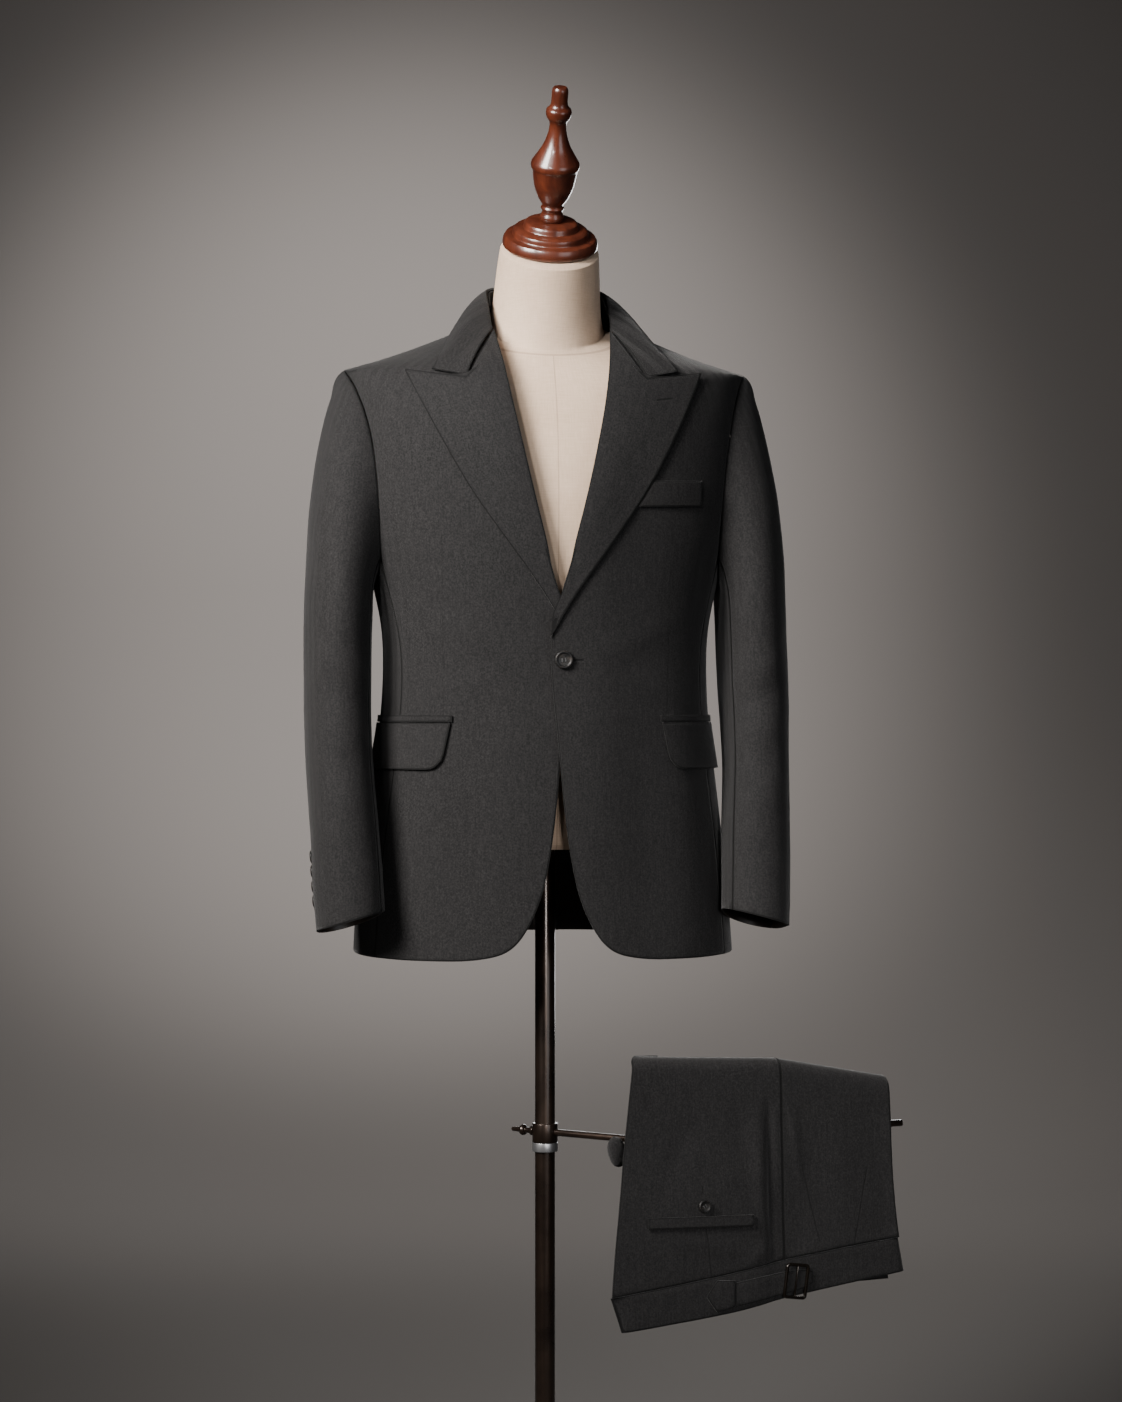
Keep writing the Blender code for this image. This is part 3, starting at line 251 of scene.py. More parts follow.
def finish_surface(tree, shader, colour, roughness, height=None, strength=0.0, depth=0.0):
    tree.links.new(colour, shader.inputs["Base Color"])
    tree.links.new(roughness, shader.inputs["Roughness"])
    if height is not None:
        inputs = {"Strength": strength, "Distance": depth, "Height": height}
        tree.links.new(add_node(tree, "ShaderNodeBump", inputs).outputs[0], shader.inputs["Normal"])


def new_group(name, inputs, outputs):
    group = bpy.data.node_groups.new(name, "ShaderNodeTree")
    for label, kind, default in inputs:
        socket = group.interface.new_socket(label, in_out="INPUT", socket_type=kind)
        if default is not None:
            socket.default_value = default
    for label in outputs:
        group.interface.new_socket(label, in_out="OUTPUT", socket_type=FLOAT)
    start = group.nodes.new("NodeGroupInput").outputs
    end = group.nodes.new("NodeGroupOutput").inputs
    return group, start, end


def use_group(tree, group, **inputs):
    return add_node(tree, "ShaderNodeGroup", inputs, node_tree=group).outputs


FLOAT, VECTOR = "NodeSocketFloat", "NodeSocketVector"
print("node helpers ready")


# %% [markdown]
# Suiting is a herringbone twill: fine diagonal ribs, about a millimetre apart, that turn back in
# narrow stripes. The ribs are drawn from a flat map of each panel, in metres, so that they follow
# the cloth round the body. The group gives the ribs' height and a mask of the single mixed yarns.

# %% Make the twill group
RIBS_PER_METRE, STRIPE_WIDTH, RIB_SLOPE = 900.0, 0.006, 0.6
YARN_GRAIN = (1500, 260, 1)


def make_twill():
    group, start, end = new_group("herringbone_twill", [("Map", VECTOR, None)], ["Height", "Yarn"])
    parts = split(group, start["Map"])
    zigzag = calc(group, "PINGPONG", parts[0], STRIPE_WIDTH)
    diagonal = calc(group, "ADD", zigzag, calc(group, "MULTIPLY", parts[1], RIB_SLOPE))
    turn = calc(group, "MULTIPLY", diagonal, RIBS_PER_METRE * 2 * math.pi)
    group.links.new(calc(group, "MULTIPLY_ADD", calc(group, "SINE", turn), 0.5, 0.5), end["Height"])
    group.links.new(cloudy(group, stretched(group, start["Map"], YARN_GRAIN), 1.0, 1.0), end["Yarn"])
    return group


twill = make_twill()
print("twill made:", len(twill.nodes), "nodes")


# %% [markdown]
# Every surface here is slightly uneven over a few centimetres: cloth has been handled, wood has been
# polished by hand, and paint has pooled. One group gives that unevenness for all of them.

# %% Make the handling group
def make_handling():
    group, start, end = new_group("handling", [("Map", VECTOR, None), ("Scale", FLOAT, 8.0)], ["Mask"])
    broad = cloudy(group, start["Map"], start["Scale"], 5.0)
    group.links.new(map_range(group, broad, 0.3, 0.7), end["Mask"])
    return group


handling = make_handling()
print("handling made:", len(handling.nodes), "nodes")


# %% [markdown]
# A turned edge of cloth is pressed thin and sewn through, with a row of tiny pick stitches just
# inside. The first group paints shade along every cut edge and seam as a dark line, and paints the
# shade of the pick stitches' dimples as a row of dark dots. Both follow the distance to the edge,
# which is measured on each panel later on and kept with its points under the name rim. A second group
# paints one dark line of shade between two points, in a buttonhole's slit or a dart's or a pleat's
# crease.

# %% Paint shade along edges and in sewn lines
# reach and strength of the painted shade along edges, and of the painted shade of the pick stitches
EDGE_SHADE_FULL, EDGE_SHADE_END, EDGE_SHADE_STRENGTH = 0.0010, 0.0019, 0.92
PICK_INSET, PICK_HALF, PICKS_PER_METRE, PICK_SHADE_STRENGTH = 0.0026, 0.0004, 260, 0.45


def make_edge_shade_and_picks():
    group, start, end = new_group("edge_shade_and_picks", [("Map", VECTOR, None)], ["Mask"])
    rim = add_node(group, "ShaderNodeAttribute", attribute_name="rim").outputs["Fac"]
    # painted shade: the cloth darkens towards every cut edge and seam, where the edge's shadow falls
    edge_shade = map_range(group, rim, EDGE_SHADE_FULL, EDGE_SHADE_END, EDGE_SHADE_STRENGTH, 0.0)
    row = calc(group, "COMPARE", rim, PICK_INSET, PICK_HALF)
    parts = split(group, start["Map"])
    run = calc(group, "ADD", parts[0], parts[1])
    wave = calc(group, "SINE", calc(group, "MULTIPLY", run, 2 * math.pi * PICKS_PER_METRE))
    # painted shade of the pick stitches' dimples, as dark dots in a row just inside the edge
    pick = calc(group, "MULTIPLY", row, calc(group, "GREATER_THAN", wave, 0.2))
    pick_shade = calc(group, "MULTIPLY", pick, PICK_SHADE_STRENGTH)
    group.links.new(calc(group, "MAXIMUM", edge_shade, pick_shade), end["Mask"])
    return group


# one line of painted shade between two points, for a buttonhole's slit or a crease
def make_slit_and_crease_shade():
    wanted = [(label, VECTOR, None) for label in ("Map", "Start", "End")]
    group, start, end = new_group("slit_and_crease_shade", [*wanted, ("Width", FLOAT, None)], ["Mask"])
    span = vector_calc(group, "SUBTRACT", start["End"], start["Start"])[0]
    off = vector_calc(group, "SUBTRACT", start["Map"], start["Start"])[0]
    along = vector_calc(group, "DOT_PRODUCT", off, span)["Value"]
    size = vector_calc(group, "DOT_PRODUCT", span, span)["Value"]
    foot = vector_calc(group, "SCALE", span, scale=clamped(group, calc(group, "DIVIDE", along, size)))[0]
    gap = vector_calc(group, "LENGTH", vector_calc(group, "SUBTRACT", off, foot)[0])["Value"]
    widths_off = calc(group, "DIVIDE", gap, start["Width"])
    group.links.new(map_range(group, widths_off, 0.6, 1.3, 1.0, 0.0), end["Mask"])
    return group


edge_shade_and_picks = make_edge_shade_and_picks()
slit_and_crease_shade = make_slit_and_crease_shade()
print("groups:", [g.name for g in bpy.data.node_groups])


# %% [markdown]
# The suit's wool is two dark yarns, nearly black and mid grey, mixed before weaving. The mix reads
# as charcoal from afar and as fine speckle close up. A little sheen stands for the nap, which
# catches light where the surface turns away.

# %% Make the suiting
WOOL_DARK, WOOL_LIGHT = (0.0042, 0.0041, 0.0043), (0.0185, 0.0175, 0.0177)
SEAM_SHADE = (0.0006, 0.0006, 0.0006)
SPECKLE_SCALE, STREAK_GRAIN = 520.0, (620, 40, 1)


def paint_shade_lines(tree, place, painted_shade, shade_lines, along):
    parts = split(tree, place)
    run = calc(tree, "MULTIPLY_ADD", parts[0], along[0], calc(tree, "MULTIPLY", parts[1], along[1]))
    front = add_node(tree, "ShaderNodeCombineXYZ", {0: run, 1: parts[2], 2: 0.0}).outputs[0]
    # each line adds painted shade in a slit or along a crease
    for start, end, width, strength in shade_lines:
        ends = {"Start": (*start, 0.0), "End": (*end, 0.0)}
        line = use_group(tree, slit_and_crease_shade, Map=front, Width=width, **ends)["Mask"]
        painted_shade = calc(tree, "MAXIMUM", painted_shade, calc(tree, "MULTIPLY", line, strength))
    return painted_shade


def make_suiting(name="charcoal_wool", shade_lines=(), along=(1, 0)):
    made, tree, shader = new_material(name, 0.25, sheen_weight=0.1, sheen_roughness=0.4)
    flat, place = place_of(tree, "UV"), place_of(tree)
    weave = use_group(tree, twill, Map=flat)
    speckle = cloudy(tree, place, SPECKLE_SCALE, 2.0)
    streak = cloudy(tree, stretched(tree, flat, STREAK_GRAIN), 1.0, 2.0)
    worn = use_group(tree, handling, Map=place, Scale=9.0)["Mask"]
    mixed = calc(tree, "MULTIPLY_ADD", weave["Yarn"], 0.9, calc(tree, "MULTIPLY", weave["Height"], 0.3))
    for layer, gain, shift in ((speckle, 2.4, -1.43), (streak, 0.9, -0.45), (worn, 0.12, -0.06)):
        mixed = calc(tree, "ADD", mixed, calc(tree, "MULTIPLY_ADD", layer, gain, shift))
    colour = blend_colour(tree, clamped(tree, mixed), WOOL_DARK, WOOL_LIGHT)
    # painted shade along every edge and seam, then in buttonholes and along darts and pleats, mixed in
    # as SEAM_SHADE
    painted_shade = use_group(tree, edge_shade_and_picks, Map=flat)["Mask"]
    if shade_lines:
        painted_shade = paint_shade_lines(tree, place, painted_shade, shade_lines, along)
    colour = blend_colour(tree, painted_shade, colour, SEAM_SHADE)
    height = calc(tree, "MULTIPLY_ADD", weave["Height"], 0.7, calc(tree, "MULTIPLY", speckle, 0.8))
    height = calc(tree, "MULTIPLY_ADD", painted_shade, -2.5, height)
    roughness = calc(tree, "MULTIPLY_ADD", worn, 0.08, 0.8)
    finish_surface(tree, shader, colour, roughness, height, 0.55, 0.0004)
    return made


suiting = make_suiting()
print("suiting made:", len(suiting.node_tree.nodes), "nodes")


# %% [markdown]
# Some panels carry painted shade lines: in two buttonholes and along two darts on the jacket, and on
# the trousers along a dart, in a small buttonhole and along two pleats. Each line is its two ends, its
# width and its strength. The jacket's lines are set in the front view, in metres. The trousers' are
# measured in millimetres along the stand's arm, from the bend near the pole.

# %% Paint shade lines on the suiting
ARM_BEND = np.array([0.0985, -0.0896])
ARM_ALONG = np.array([0.9478, 0.3186])
ARM_FRONT = np.array([0.3186, -0.9478])
ARM_RUN = float(ARM_ALONG @ ARM_BEND)


def on_trousers(u0, z0, u1, z1, width=0.0008, strength=0.7):
    return (ARM_RUN + u0 * MM, z0 * MM), (ARM_RUN + u1 * MM, z1 * MM), width, strength


# painted shade lines: two ends in the front view, a width and a strength
BUTTONHOLE = ((0.0158, 1.0706), (0.0255, 1.0703), 0.0012, 0.95)
LAPEL_HOLE = ((0.1125, 1.3625), (0.1300, 1.3650), 0.0011, 0.9)
LEFT_DART = ((0.130, 1.212), (0.127, 1.006), 0.0005, 0.3)
RIGHT_DART = ((-0.130, 1.212), (-0.127, 1.006), 0.0005, 0.3)
BACK_SHADE_LINES = [on_trousers(66, 429, 74, 373), on_trousers(63.5, 477, 63.5, 469, 0.0007, 0.8)]
PLEAT_SHADE_LINES = [on_trousers(197, 493, 218, 403), on_trousers(284, 482, 264, 396)]
suiting_left = make_suiting("charcoal_wool_left", [BUTTONHOLE, LEFT_DART])
suiting_right = make_suiting("charcoal_wool_right", [RIGHT_DART])
suiting_lapel = make_suiting("charcoal_wool_lapel", [LAPEL_HOLE])
suiting_seat = make_suiting("charcoal_wool_seat", BACK_SHADE_LINES, ARM_ALONG.tolist())
suiting_pleats = make_suiting("charcoal_wool_pleats", PLEAT_SHADE_LINES, ARM_ALONG.tolist())
print("marked suitings:", 5)


# %% [markdown]
# Inside the jacket is a smooth dark lining. It shows only past the cutaway fronts, in the vent and
# up the cuffs, and it is shinier than the wool.

# %% Make the lining
def make_lining():
    made, tree, shader = new_material("dark_lining", roughness=0.42, sheen_weight=0.1)
    worn = use_group(tree, handling, Map=place_of(tree), Scale=14.0)["Mask"]
    colour = blend_colour(tree, worn, (0.016, 0.011, 0.008), (0.03, 0.02, 0.014))
    tree.links.new(colour, shader.inputs["Base Color"])
    return made


lining = make_lining()
print("lining made")


# %% [markdown]
# The form is covered in natural linen. Its yarns are uneven, thick here and thin there, so the plain
# weave is broken by slubs, and years of fittings have left it slightly stained. One seam runs round
# the foot of the neck and another down the middle of the chest, each a thin sunk line.

# %% Make the linen
NECK_SEAM_HEIGHT, NECK_SEAM_SLOPE, NECK_SEAM_HALF, CENTRE_SEAM_HALF = 1.447, 0.44, 0.0008, 0.0006
LINEN_RADIUS, WARP_PER_METRE, WEFT_PER_METRE = 0.1, 1150, 1050
LINEN_DARK, LINEN_LIGHT, LINEN_SEAM = (0.46, 0.325, 0.225), (0.69, 0.525, 0.395), (0.24, 0.16, 0.11)


def linen_seams(tree, parts):
    foot = calc(tree, "MULTIPLY_ADD", parts[1], NECK_SEAM_SLOPE, NECK_SEAM_HEIGHT)
    neck = calc(tree, "SUBTRACT", parts[2], foot)
    neck_line = calc(tree, "COMPARE", neck, 0.0, NECK_SEAM_HALF)
    centre = calc(tree, "COMPARE", parts[0], 0.0, CENTRE_SEAM_HALF)
    centre_line = calc(tree, "MULTIPLY", centre, calc(tree, "LESS_THAN", neck, 0.0))
    return calc(tree, "MAXIMUM", neck_line, centre_line)


def make_linen():
    made, tree, shader = new_material("form_linen", sheen_weight=0.08)
    place = place_of(tree)
    parts = split(tree, place)
    turn = calc(tree, "ARCTAN2", parts[0], calc(tree, "MULTIPLY", parts[1], -1.0))
    around = calc(tree, "MULTIPLY", turn, LINEN_RADIUS)
    warp = calc(tree, "SINE", calc(tree, "MULTIPLY", around, 2 * math.pi * WARP_PER_METRE))
    weft = calc(tree, "SINE", calc(tree, "MULTIPLY", parts[2], 2 * math.pi * WEFT_PER_METRE))
    flat = add_node(tree, "ShaderNodeCombineXYZ", {0: around, 1: parts[2], 2: 0.0}).outputs[0]
    up = cloudy(tree, stretched(tree, flat, (700, 60, 1)), 1.0, 2.0)
    across = cloudy(tree, stretched(tree, flat, (50, 800, 1)), 1.0, 2.0)
    slubs = calc(tree, "ADD", up, across)
    stain = use_group(tree, handling, Map=place, Scale=11.0)["Mask"]
    blotch = use_group(tree, handling, Map=place, Scale=60.0)["Mask"]
    tone = calc(tree, "MULTIPLY_ADD", slubs, 0.55, calc(tree, "MULTIPLY_ADD", stain, 0.25, -0.3))
    tone = clamped(tree, calc(tree, "ADD", tone, calc(tree, "MULTIPLY", blotch, 0.12)))
    colour = blend_colour(tree, tone, LINEN_DARK, LINEN_LIGHT)
    seams = linen_seams(tree, parts)
    colour = blend_colour(tree, calc(tree, "MULTIPLY", seams, 0.45), colour, LINEN_SEAM)
    height = calc(tree, "MULTIPLY_ADD", warp, 0.2, calc(tree, "MULTIPLY", weft, 0.2))
    height = calc(tree, "ADD", height, slubs)
    height = calc(tree, "SUBTRACT", height, calc(tree, "MULTIPLY", seams, 5.0))
    roughness = calc(tree, "MULTIPLY_ADD", stain, -0.1, 0.9)
    finish_surface(tree, shader, colour, roughness, height, 0.45, 0.0004)
    return made


linen = make_linen()
print("linen made:", len(linen.node_tree.nodes), "nodes")


# %% [markdown]
# The neck cap and finial are red-brown hardwood, turned, stained and polished. The grain runs along
# the lathe's axis, and dark pores show in it under the polish.

# %% Make the wood
NECK_LEAN = 0.53
NECK_AXIS = Vector((0, -NECK_LEAN, 1)).normalized()
NECK_TOP = Vector((0, -0.040, 1.541))
WOOD_DARK, WOOD_LIGHT = (0.046, 0.0095, 0.0045), (0.10, 0.0225, 0.0095)
WOOD_PORE, WOOD_WORN = (0.03, 0.008, 0.005), (0.07, 0.018, 0.009)


def grain_place(tree, scale, turn=(0, 0, 0)):
    inputs = {"Vector": place_of(tree), "Rotation": turn, "Scale": scale}
    return add_node(tree, "ShaderNodeMapping", inputs).outputs[0]


def make_wood():
    made, tree, shader = new_material("red_wood", coat_weight=0.55, coat_roughness=0.12)
    along = grain_place(tree, (90, 90, 9), (-math.atan(NECK_LEAN), 0, 0))
    band = map_range(tree, cloudy(tree, along, 1.0, 6.0, Distortion=0.7), 0.32, 0.66)
    pores = map_range(tree, cloudy(tree, along, 9.0, 2.0), 0.56, 0.68)
    worn = use_group(tree, handling, Map=place_of(tree), Scale=30.0)["Mask"]
    colour = blend_colour(tree, band, WOOD_DARK, WOOD_LIGHT)
    colour = blend_colour(tree, calc(tree, "MULTIPLY", pores, 0.4), colour, WOOD_PORE)
    colour = blend_colour(tree, calc(tree, "MULTIPLY", worn, 0.25), colour, WOOD_WORN)
    roughness = calc(tree, "MULTIPLY_ADD", worn, 0.12, 0.26)
    finish_surface(tree, shader, colour, roughness, pores, 0.12, 0.0003)
    return made


wood = make_wood()
print("wood made:", len(wood.node_tree.nodes), "nodes")


# %% [markdown]
# The pole, clamp and arm are steel under a brown-black finish that has rubbed thin where the clamp
# slides. Scratches run up the pole, and the worn ring under the clamp is bare grey metal.

# %% Make the metals
def make_metal(name, dark, light, rough, metallic, coat=0.0):
    made, tree, shader = new_material(name, metallic=metallic, coat_weight=coat, coat_roughness=0.15)
    scratch = cloudy(tree, grain_place(tree, (260, 260, 7)), 1.0, 3.0)
    worn = use_group(tree, handling, Map=place_of(tree), Scale=22.0)["Mask"]
    share = calc(tree, "MULTIPLY", calc(tree, "MULTIPLY_ADD", scratch, 0.8, 0.1), worn)
    colour = blend_colour(tree, share, dark, light)
    roughness = calc(tree, "MULTIPLY_ADD", share, 0.25, rough)
    finish_surface(tree, shader, colour, roughness, scratch, 0.08, 0.0002)
    return made


bronzed = make_metal("bronzed_steel", (0.016, 0.011, 0.009), (0.06, 0.038, 0.026), 0.24, 0.75, 0.3)
nickel = make_metal("worn_nickel", (0.30, 0.30, 0.31), (0.5, 0.5, 0.5), 0.32, 0.9)
gunmetal = make_metal("dark_buckle", (0.013, 0.010, 0.008), (0.05, 0.036, 0.024), 0.16, 0.8, 0.5)
print("metals made:", 3)


# %% [markdown]
# The buttons are dark horn, which is never one flat black: faint brown streaks run through it. The
# sewing thread is dull and a little lighter than the cloth.

# %% Make horn and thread
def make_horn():
    made, tree, shader = new_material("black_horn", 0.3)
    share = map_range(tree, cloudy(tree, grain_place(tree, (80, 80, 420)), 1.0, 3.0), 0.45, 0.75)
    colour = blend_colour(tree, share, (0.005, 0.005, 0.005), (0.022, 0.017, 0.014))
    finish_surface(tree, shader, colour, calc(tree, "MULTIPLY_ADD", share, 0.12, 0.42))
    return made


def make_thread():
    made, tree, shader = new_material("grey_thread", sheen_weight=0.2)
    twist = cloudy(tree, place_of(tree), 1800.0, 1.0)
    colour = blend_colour(tree, twist, (0.012, 0.012, 0.0125), (0.035, 0.034, 0.034))
    finish_surface(tree, shader, colour, calc(tree, "MULTIPLY_ADD", twist, 0.2, 0.6), twist, 0.4, 0.0002)
    return made


horn = make_horn()
thread = make_thread()
print("materials:", len(bpy.data.materials))


# %% [markdown]
# Each cloth panel starts as a copy of its solid. The copy's loose triangles are merged and paired
# into quads, its cut edges are creased so that they stay put, and subdivision rounds the rest. That
# keeps every seam where the solids have it, which drawing the panels again by hand would not.

# %% Copy a panel from its solid
MERGE_GAP = 0.00002


def deselect():
    if bpy.context.object and bpy.context.object.mode != "OBJECT":
        bpy.ops.object.mode_set(mode="OBJECT")
    bpy.ops.object.select_all(action="DESELECT")


def activate(obj):
    deselect()
    obj.select_set(True)
    bpy.context.view_layer.objects.active = obj


def apply_modifier(obj, kind, **settings):
    activate(obj)
    modifier = obj.modifiers.new(kind.lower(), kind)
    for key, value in settings.items():
        setattr(modifier, key, value)
    bpy.ops.object.modifier_apply(modifier=modifier.name)


def copy_solid(node, name):
    obj = bpy.data.objects.new(name, nodes[node].data.copy())
    bpy.context.scene.collection.objects.link(obj)
    obj.data.materials.clear()
    activate(obj)
    bpy.ops.object.mode_set(mode="EDIT")
    bpy.ops.mesh.select_all(action="SELECT")
    bpy.ops.mesh.remove_doubles(threshold=MERGE_GAP)
    bpy.ops.mesh.select_all(action="SELECT")
    flatness, squareness = math.radians(60), math.radians(70)
    bpy.ops.mesh.tris_convert_to_quads(face_threshold=flatness, shape_threshold=squareness)
    bpy.ops.object.mode_set(mode="OBJECT")
    return obj


def select_sharp(obj, angle):
    activate(obj)
    bpy.ops.object.mode_set(mode="EDIT")
    bpy.ops.mesh.select_mode(type="EDGE")
    bpy.ops.mesh.select_all(action="DESELECT")
    bpy.ops.mesh.edges_select_sharp(sharpness=math.radians(angle))


def smoothed(obj, levels, crease=50):
    select_sharp(obj, crease)
    bpy.ops.transform.edge_crease(value=1)
    bpy.ops.object.mode_set(mode="OBJECT")
    apply_modifier(obj, "SUBSURF", levels=levels, render_levels=levels)


def shade_round(obj):
    activate(obj)
    bpy.ops.object.shade_smooth_by_angle(angle=math.radians(40))


def softened(obj, width=0.5 * MM, angle=45, segments=2):
    apply_modifier(obj, "BEVEL", width=width, segments=segments, limit_method="ANGLE",
                   angle_limit=math.radians(angle))
    shade_round(obj)


def joined(name, pieces):
    deselect()
    for piece in pieces:
        piece.select_set(True)
    bpy.context.view_layer.objects.active = pieces[0]
    bpy.ops.object.join()
    pieces[0].name = name
    bpy.ops.object.transform_apply(location=True, rotation=True, scale=True)
    return pieces[0]


print("copy helpers ready")


# %% [markdown]
# Folds are where cloth turns from a shell into a garment. Each fold here is a soft ridge or hollow
# along a line between two points, with a width and a height. A point of the cloth moves outwards by
# the sum of the folds near it, plus a slight unevenness. Layers that lie together move together,
# because the rule depends only on place.

# %% Write the folding rule
def ridge(points, start, end, width, height):
    start, end = np.array(start) * MM, np.array(end) * MM
    line = end - start
    share = np.clip(((points - start) @ line) / (line @ line), 0, 1)
    gap = np.linalg.norm(points - (start + share[:, None] * line), axis=1)
    fade = np.sin(np.pi * np.clip(share, 0.08, 0.92)) ** 0.5
    return height * MM * fade * np.exp(-((gap / (width * MM)) ** 2))


def uneven(points, scale, height, seed):
    offset = Vector((seed * 3.7, seed * 1.3, seed * 2.1))
    return np.array([noise.noise(Vector(p) * scale + offset) for p in points.tolist()]) * height * MM


def read_points(obj):
    points = np.empty(len(obj.data.vertices) * 3)
    obj.data.vertices.foreach_get("co", points)
    return points.reshape(-1, 3)


def write_points(obj, points):
    obj.data.vertices.foreach_set("co", np.ascontiguousarray(points).ravel())
    obj.data.update()


def folded(obj, directions, folds, unevenness):
    points = read_points(obj)
    move = np.zeros(len(points))
    for fold in folds:
        move += ridge(points, *fold)
    for scale, height, seed in unevenness:
        move += uneven(points, scale, height, seed)
    write_points(obj, points + directions(points) * move[:, None])


print("folding rule ready")


# %% [markdown]
# The weave needs a flat map of each panel, in metres. Round the body the map is the distance along
# a circle and the height. Round a sleeve it is the same about the sleeve's own middle. A lapel is
# nearly flat, so its map is the front view, turned to the lapel's slope.

# %% Map the panels flat
BODY_RADIUS, SLEEVE_RADIUS, COLLAR_RADIUS = 0.19, 0.055, 0.09
LAPEL_LEAN = math.radians(17)
SLEEVE_BEND_Z = [0.78, 0.856, 0.958, 1.06, 1.13, 1.4]
SLEEVE_BEND_Y = [-0.080, -0.063, -0.035, -0.012, -0.006, 0.004]
SLEEVE_TOP = 1.24
STEPS_ALONG_EDGE = 7


def body_map(points):
    turn = np.arctan2(points[:, 0], -points[:, 1] + 0.02)
    return np.stack([turn * BODY_RADIUS, points[:, 2]], axis=1)


def sleeve_middle(points):
    side = np.sign(points[:, 0].mean())
    x = np.interp(points[:, 2], [1.13, 1.43], [0.237, 0.19]) * side
    y = np.interp(points[:, 2], SLEEVE_BEND_Z, SLEEVE_BEND_Y)
    return side, np.stack([x, y, np.minimum(points[:, 2], SLEEVE_TOP)], axis=1)


def sleeve_map(points):
    side, middle = sleeve_middle(points)
    off = points[:, :2] - middle[:, :2]
    front_side = 1 if (off[:, 0] * side).mean() > 0 else -1
    turn = np.arctan2(-off[:, 1], off[:, 0] * side * front_side)
    return np.stack([turn * SLEEVE_RADIUS, points[:, 2]], axis=1)


def lapel_map(points):
    lean = LAPEL_LEAN * np.sign(points[:, 0].mean())
    x, z = points[:, 0], points[:, 2]
    across = x * math.cos(lean) - z * math.sin(lean)
    return np.stack([across, x * math.sin(lean) + z * math.cos(lean)], axis=1)


def collar_map(points):
    turn = np.arctan2(points[:, 0], -points[:, 1] - 0.01)
    fall = points[:, 2] * 1.1 + np.hypot(points[:, 0], points[:, 1]) * 0.6
    return np.stack([turn * COLLAR_RADIUS, fall], axis=1)


def trouser_map(points):
    flat = points[:, :2] - ARM_BEND
    return np.stack([flat @ ARM_ALONG, points[:, 2] + flat @ ARM_FRONT * 0.5], axis=1)


def write_rim(obj, rim):
    layer = obj.data.attributes.new("rim", "FLOAT", "POINT")
    layer.data.foreach_set("value", rim.astype(np.float32))


def mark_rim(obj):
    select_sharp(obj, 28)
    bpy.ops.object.mode_set(mode="OBJECT")
    points = read_points(obj)
    ends = np.array([edge.vertices[:] for edge in obj.data.edges if edge.select])
    share = np.linspace(0, 1, STEPS_ALONG_EDGE)[:, None, None]
    samples = (points[ends[:, 0]] * (1 - share) + points[ends[:, 1]] * share).reshape(-1, 3)
    tree = KDTree(len(samples))
    for i, sample in enumerate(samples):
        tree.insert(sample, i)
    tree.balance()
    write_rim(obj, np.array([tree.find(point)[2] for point in points]))


def unwrap(obj, rule):
    mark_rim(obj)
    uv = rule(read_points(obj))
    layer = obj.data.uv_layers.new(name="cloth")
    corners = np.empty(len(obj.data.loops), int)
    obj.data.loops.foreach_get("vertex_index", corners)
    layer.data.foreach_set("uv", uv[corners].ravel())


print("maps ready")


# %% [markdown]
# A panel's outer face is wool and its inner face is lining, where the jacket shows its inside.

# %% Dress a panel
TURNED_IN = -0.35


def line_inside(obj, directions, outer=suiting):
    obj.data.materials.append(outer)
    obj.data.materials.append(lining)
    centres = np.array([face.center for face in obj.data.polygons])
    normals = np.array([face.normal for face in obj.data.polygons])
    facing = (normals * directions(centres)).sum(axis=1)
    slots = np.where(facing > TURNED_IN, 0, 1).astype(np.int32)
    obj.data.polygons.foreach_set("material_index", slots)


def finish_piece(obj, node):
    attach(obj, "root")
    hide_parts(node)


def unit(rows):
    return rows / np.maximum(np.linalg.norm(rows, axis=1, keepdims=True), 1e-6)


def away_from_body(points):
    return unit(np.stack([points[:, 0] * 0.75, points[:, 1] - 0.01, np.zeros(len(points))], axis=1))


def away_from_sleeve(points):
    return unit(points - sleeve_middle(points)[1])


print("panel helpers ready")


# %% [markdown]
# The jacket's body hangs clean from the shoulder: a light drag from the underarm, a soft break above
# the button where the fronts close, and long shallow hollows in the skirt.

# %% Sew the jacket's body
BODY_FOLDS = [
    ((40, -124, 1075), (150, -92, 1120), 16, 1.4),
    ((-34, -124, 1075), (-150, -92, 1118), 16, 1.4),
    ((60, -118, 1052), (160, -80, 1030), 15, 1.2),
    ((-56, -118, 1052), (-160, -80, 1032), 15, 1.2),
    ((150, -95, 1010), (165, -100, 760), 26, 2.6),
    ((-150, -95, 1010), (-165, -100, 760), 26, 2.6),
    ((95, -118, 960), (112, -125, 745), 24, -1.8),
    ((-95, -118, 960), (-112, -125, 745), 24, -1.8),
    ((178, -60, 1230), (170, -78, 1110), 14, -2.0),
    ((-178, -60, 1230), (-170, -78, 1110), 14, -2.0),
    ((120, 85, 1190), (60, 98, 1080), 18, -1.6),
    ((-120, 85, 1190), (-60, 98, 1080), 18, -1.6),
    ((80, 105, 1040), (95, 112, 770), 28, 2.4),
    ((-80, 105, 1040), (-95, 112, 770), 28, 2.4),
    ((150, 75, 1060), (160, 80, 800), 24, -2.0),
    ((-150, 75, 1060), (-160, 80, 800), 24, -2.0),
]
BODY_UNEVEN = [(7.0, 1.3, 1), (18.0, 0.45, 2)]
BODY_WOOL = {"front_left": suiting_left, "front_right": suiting_right}


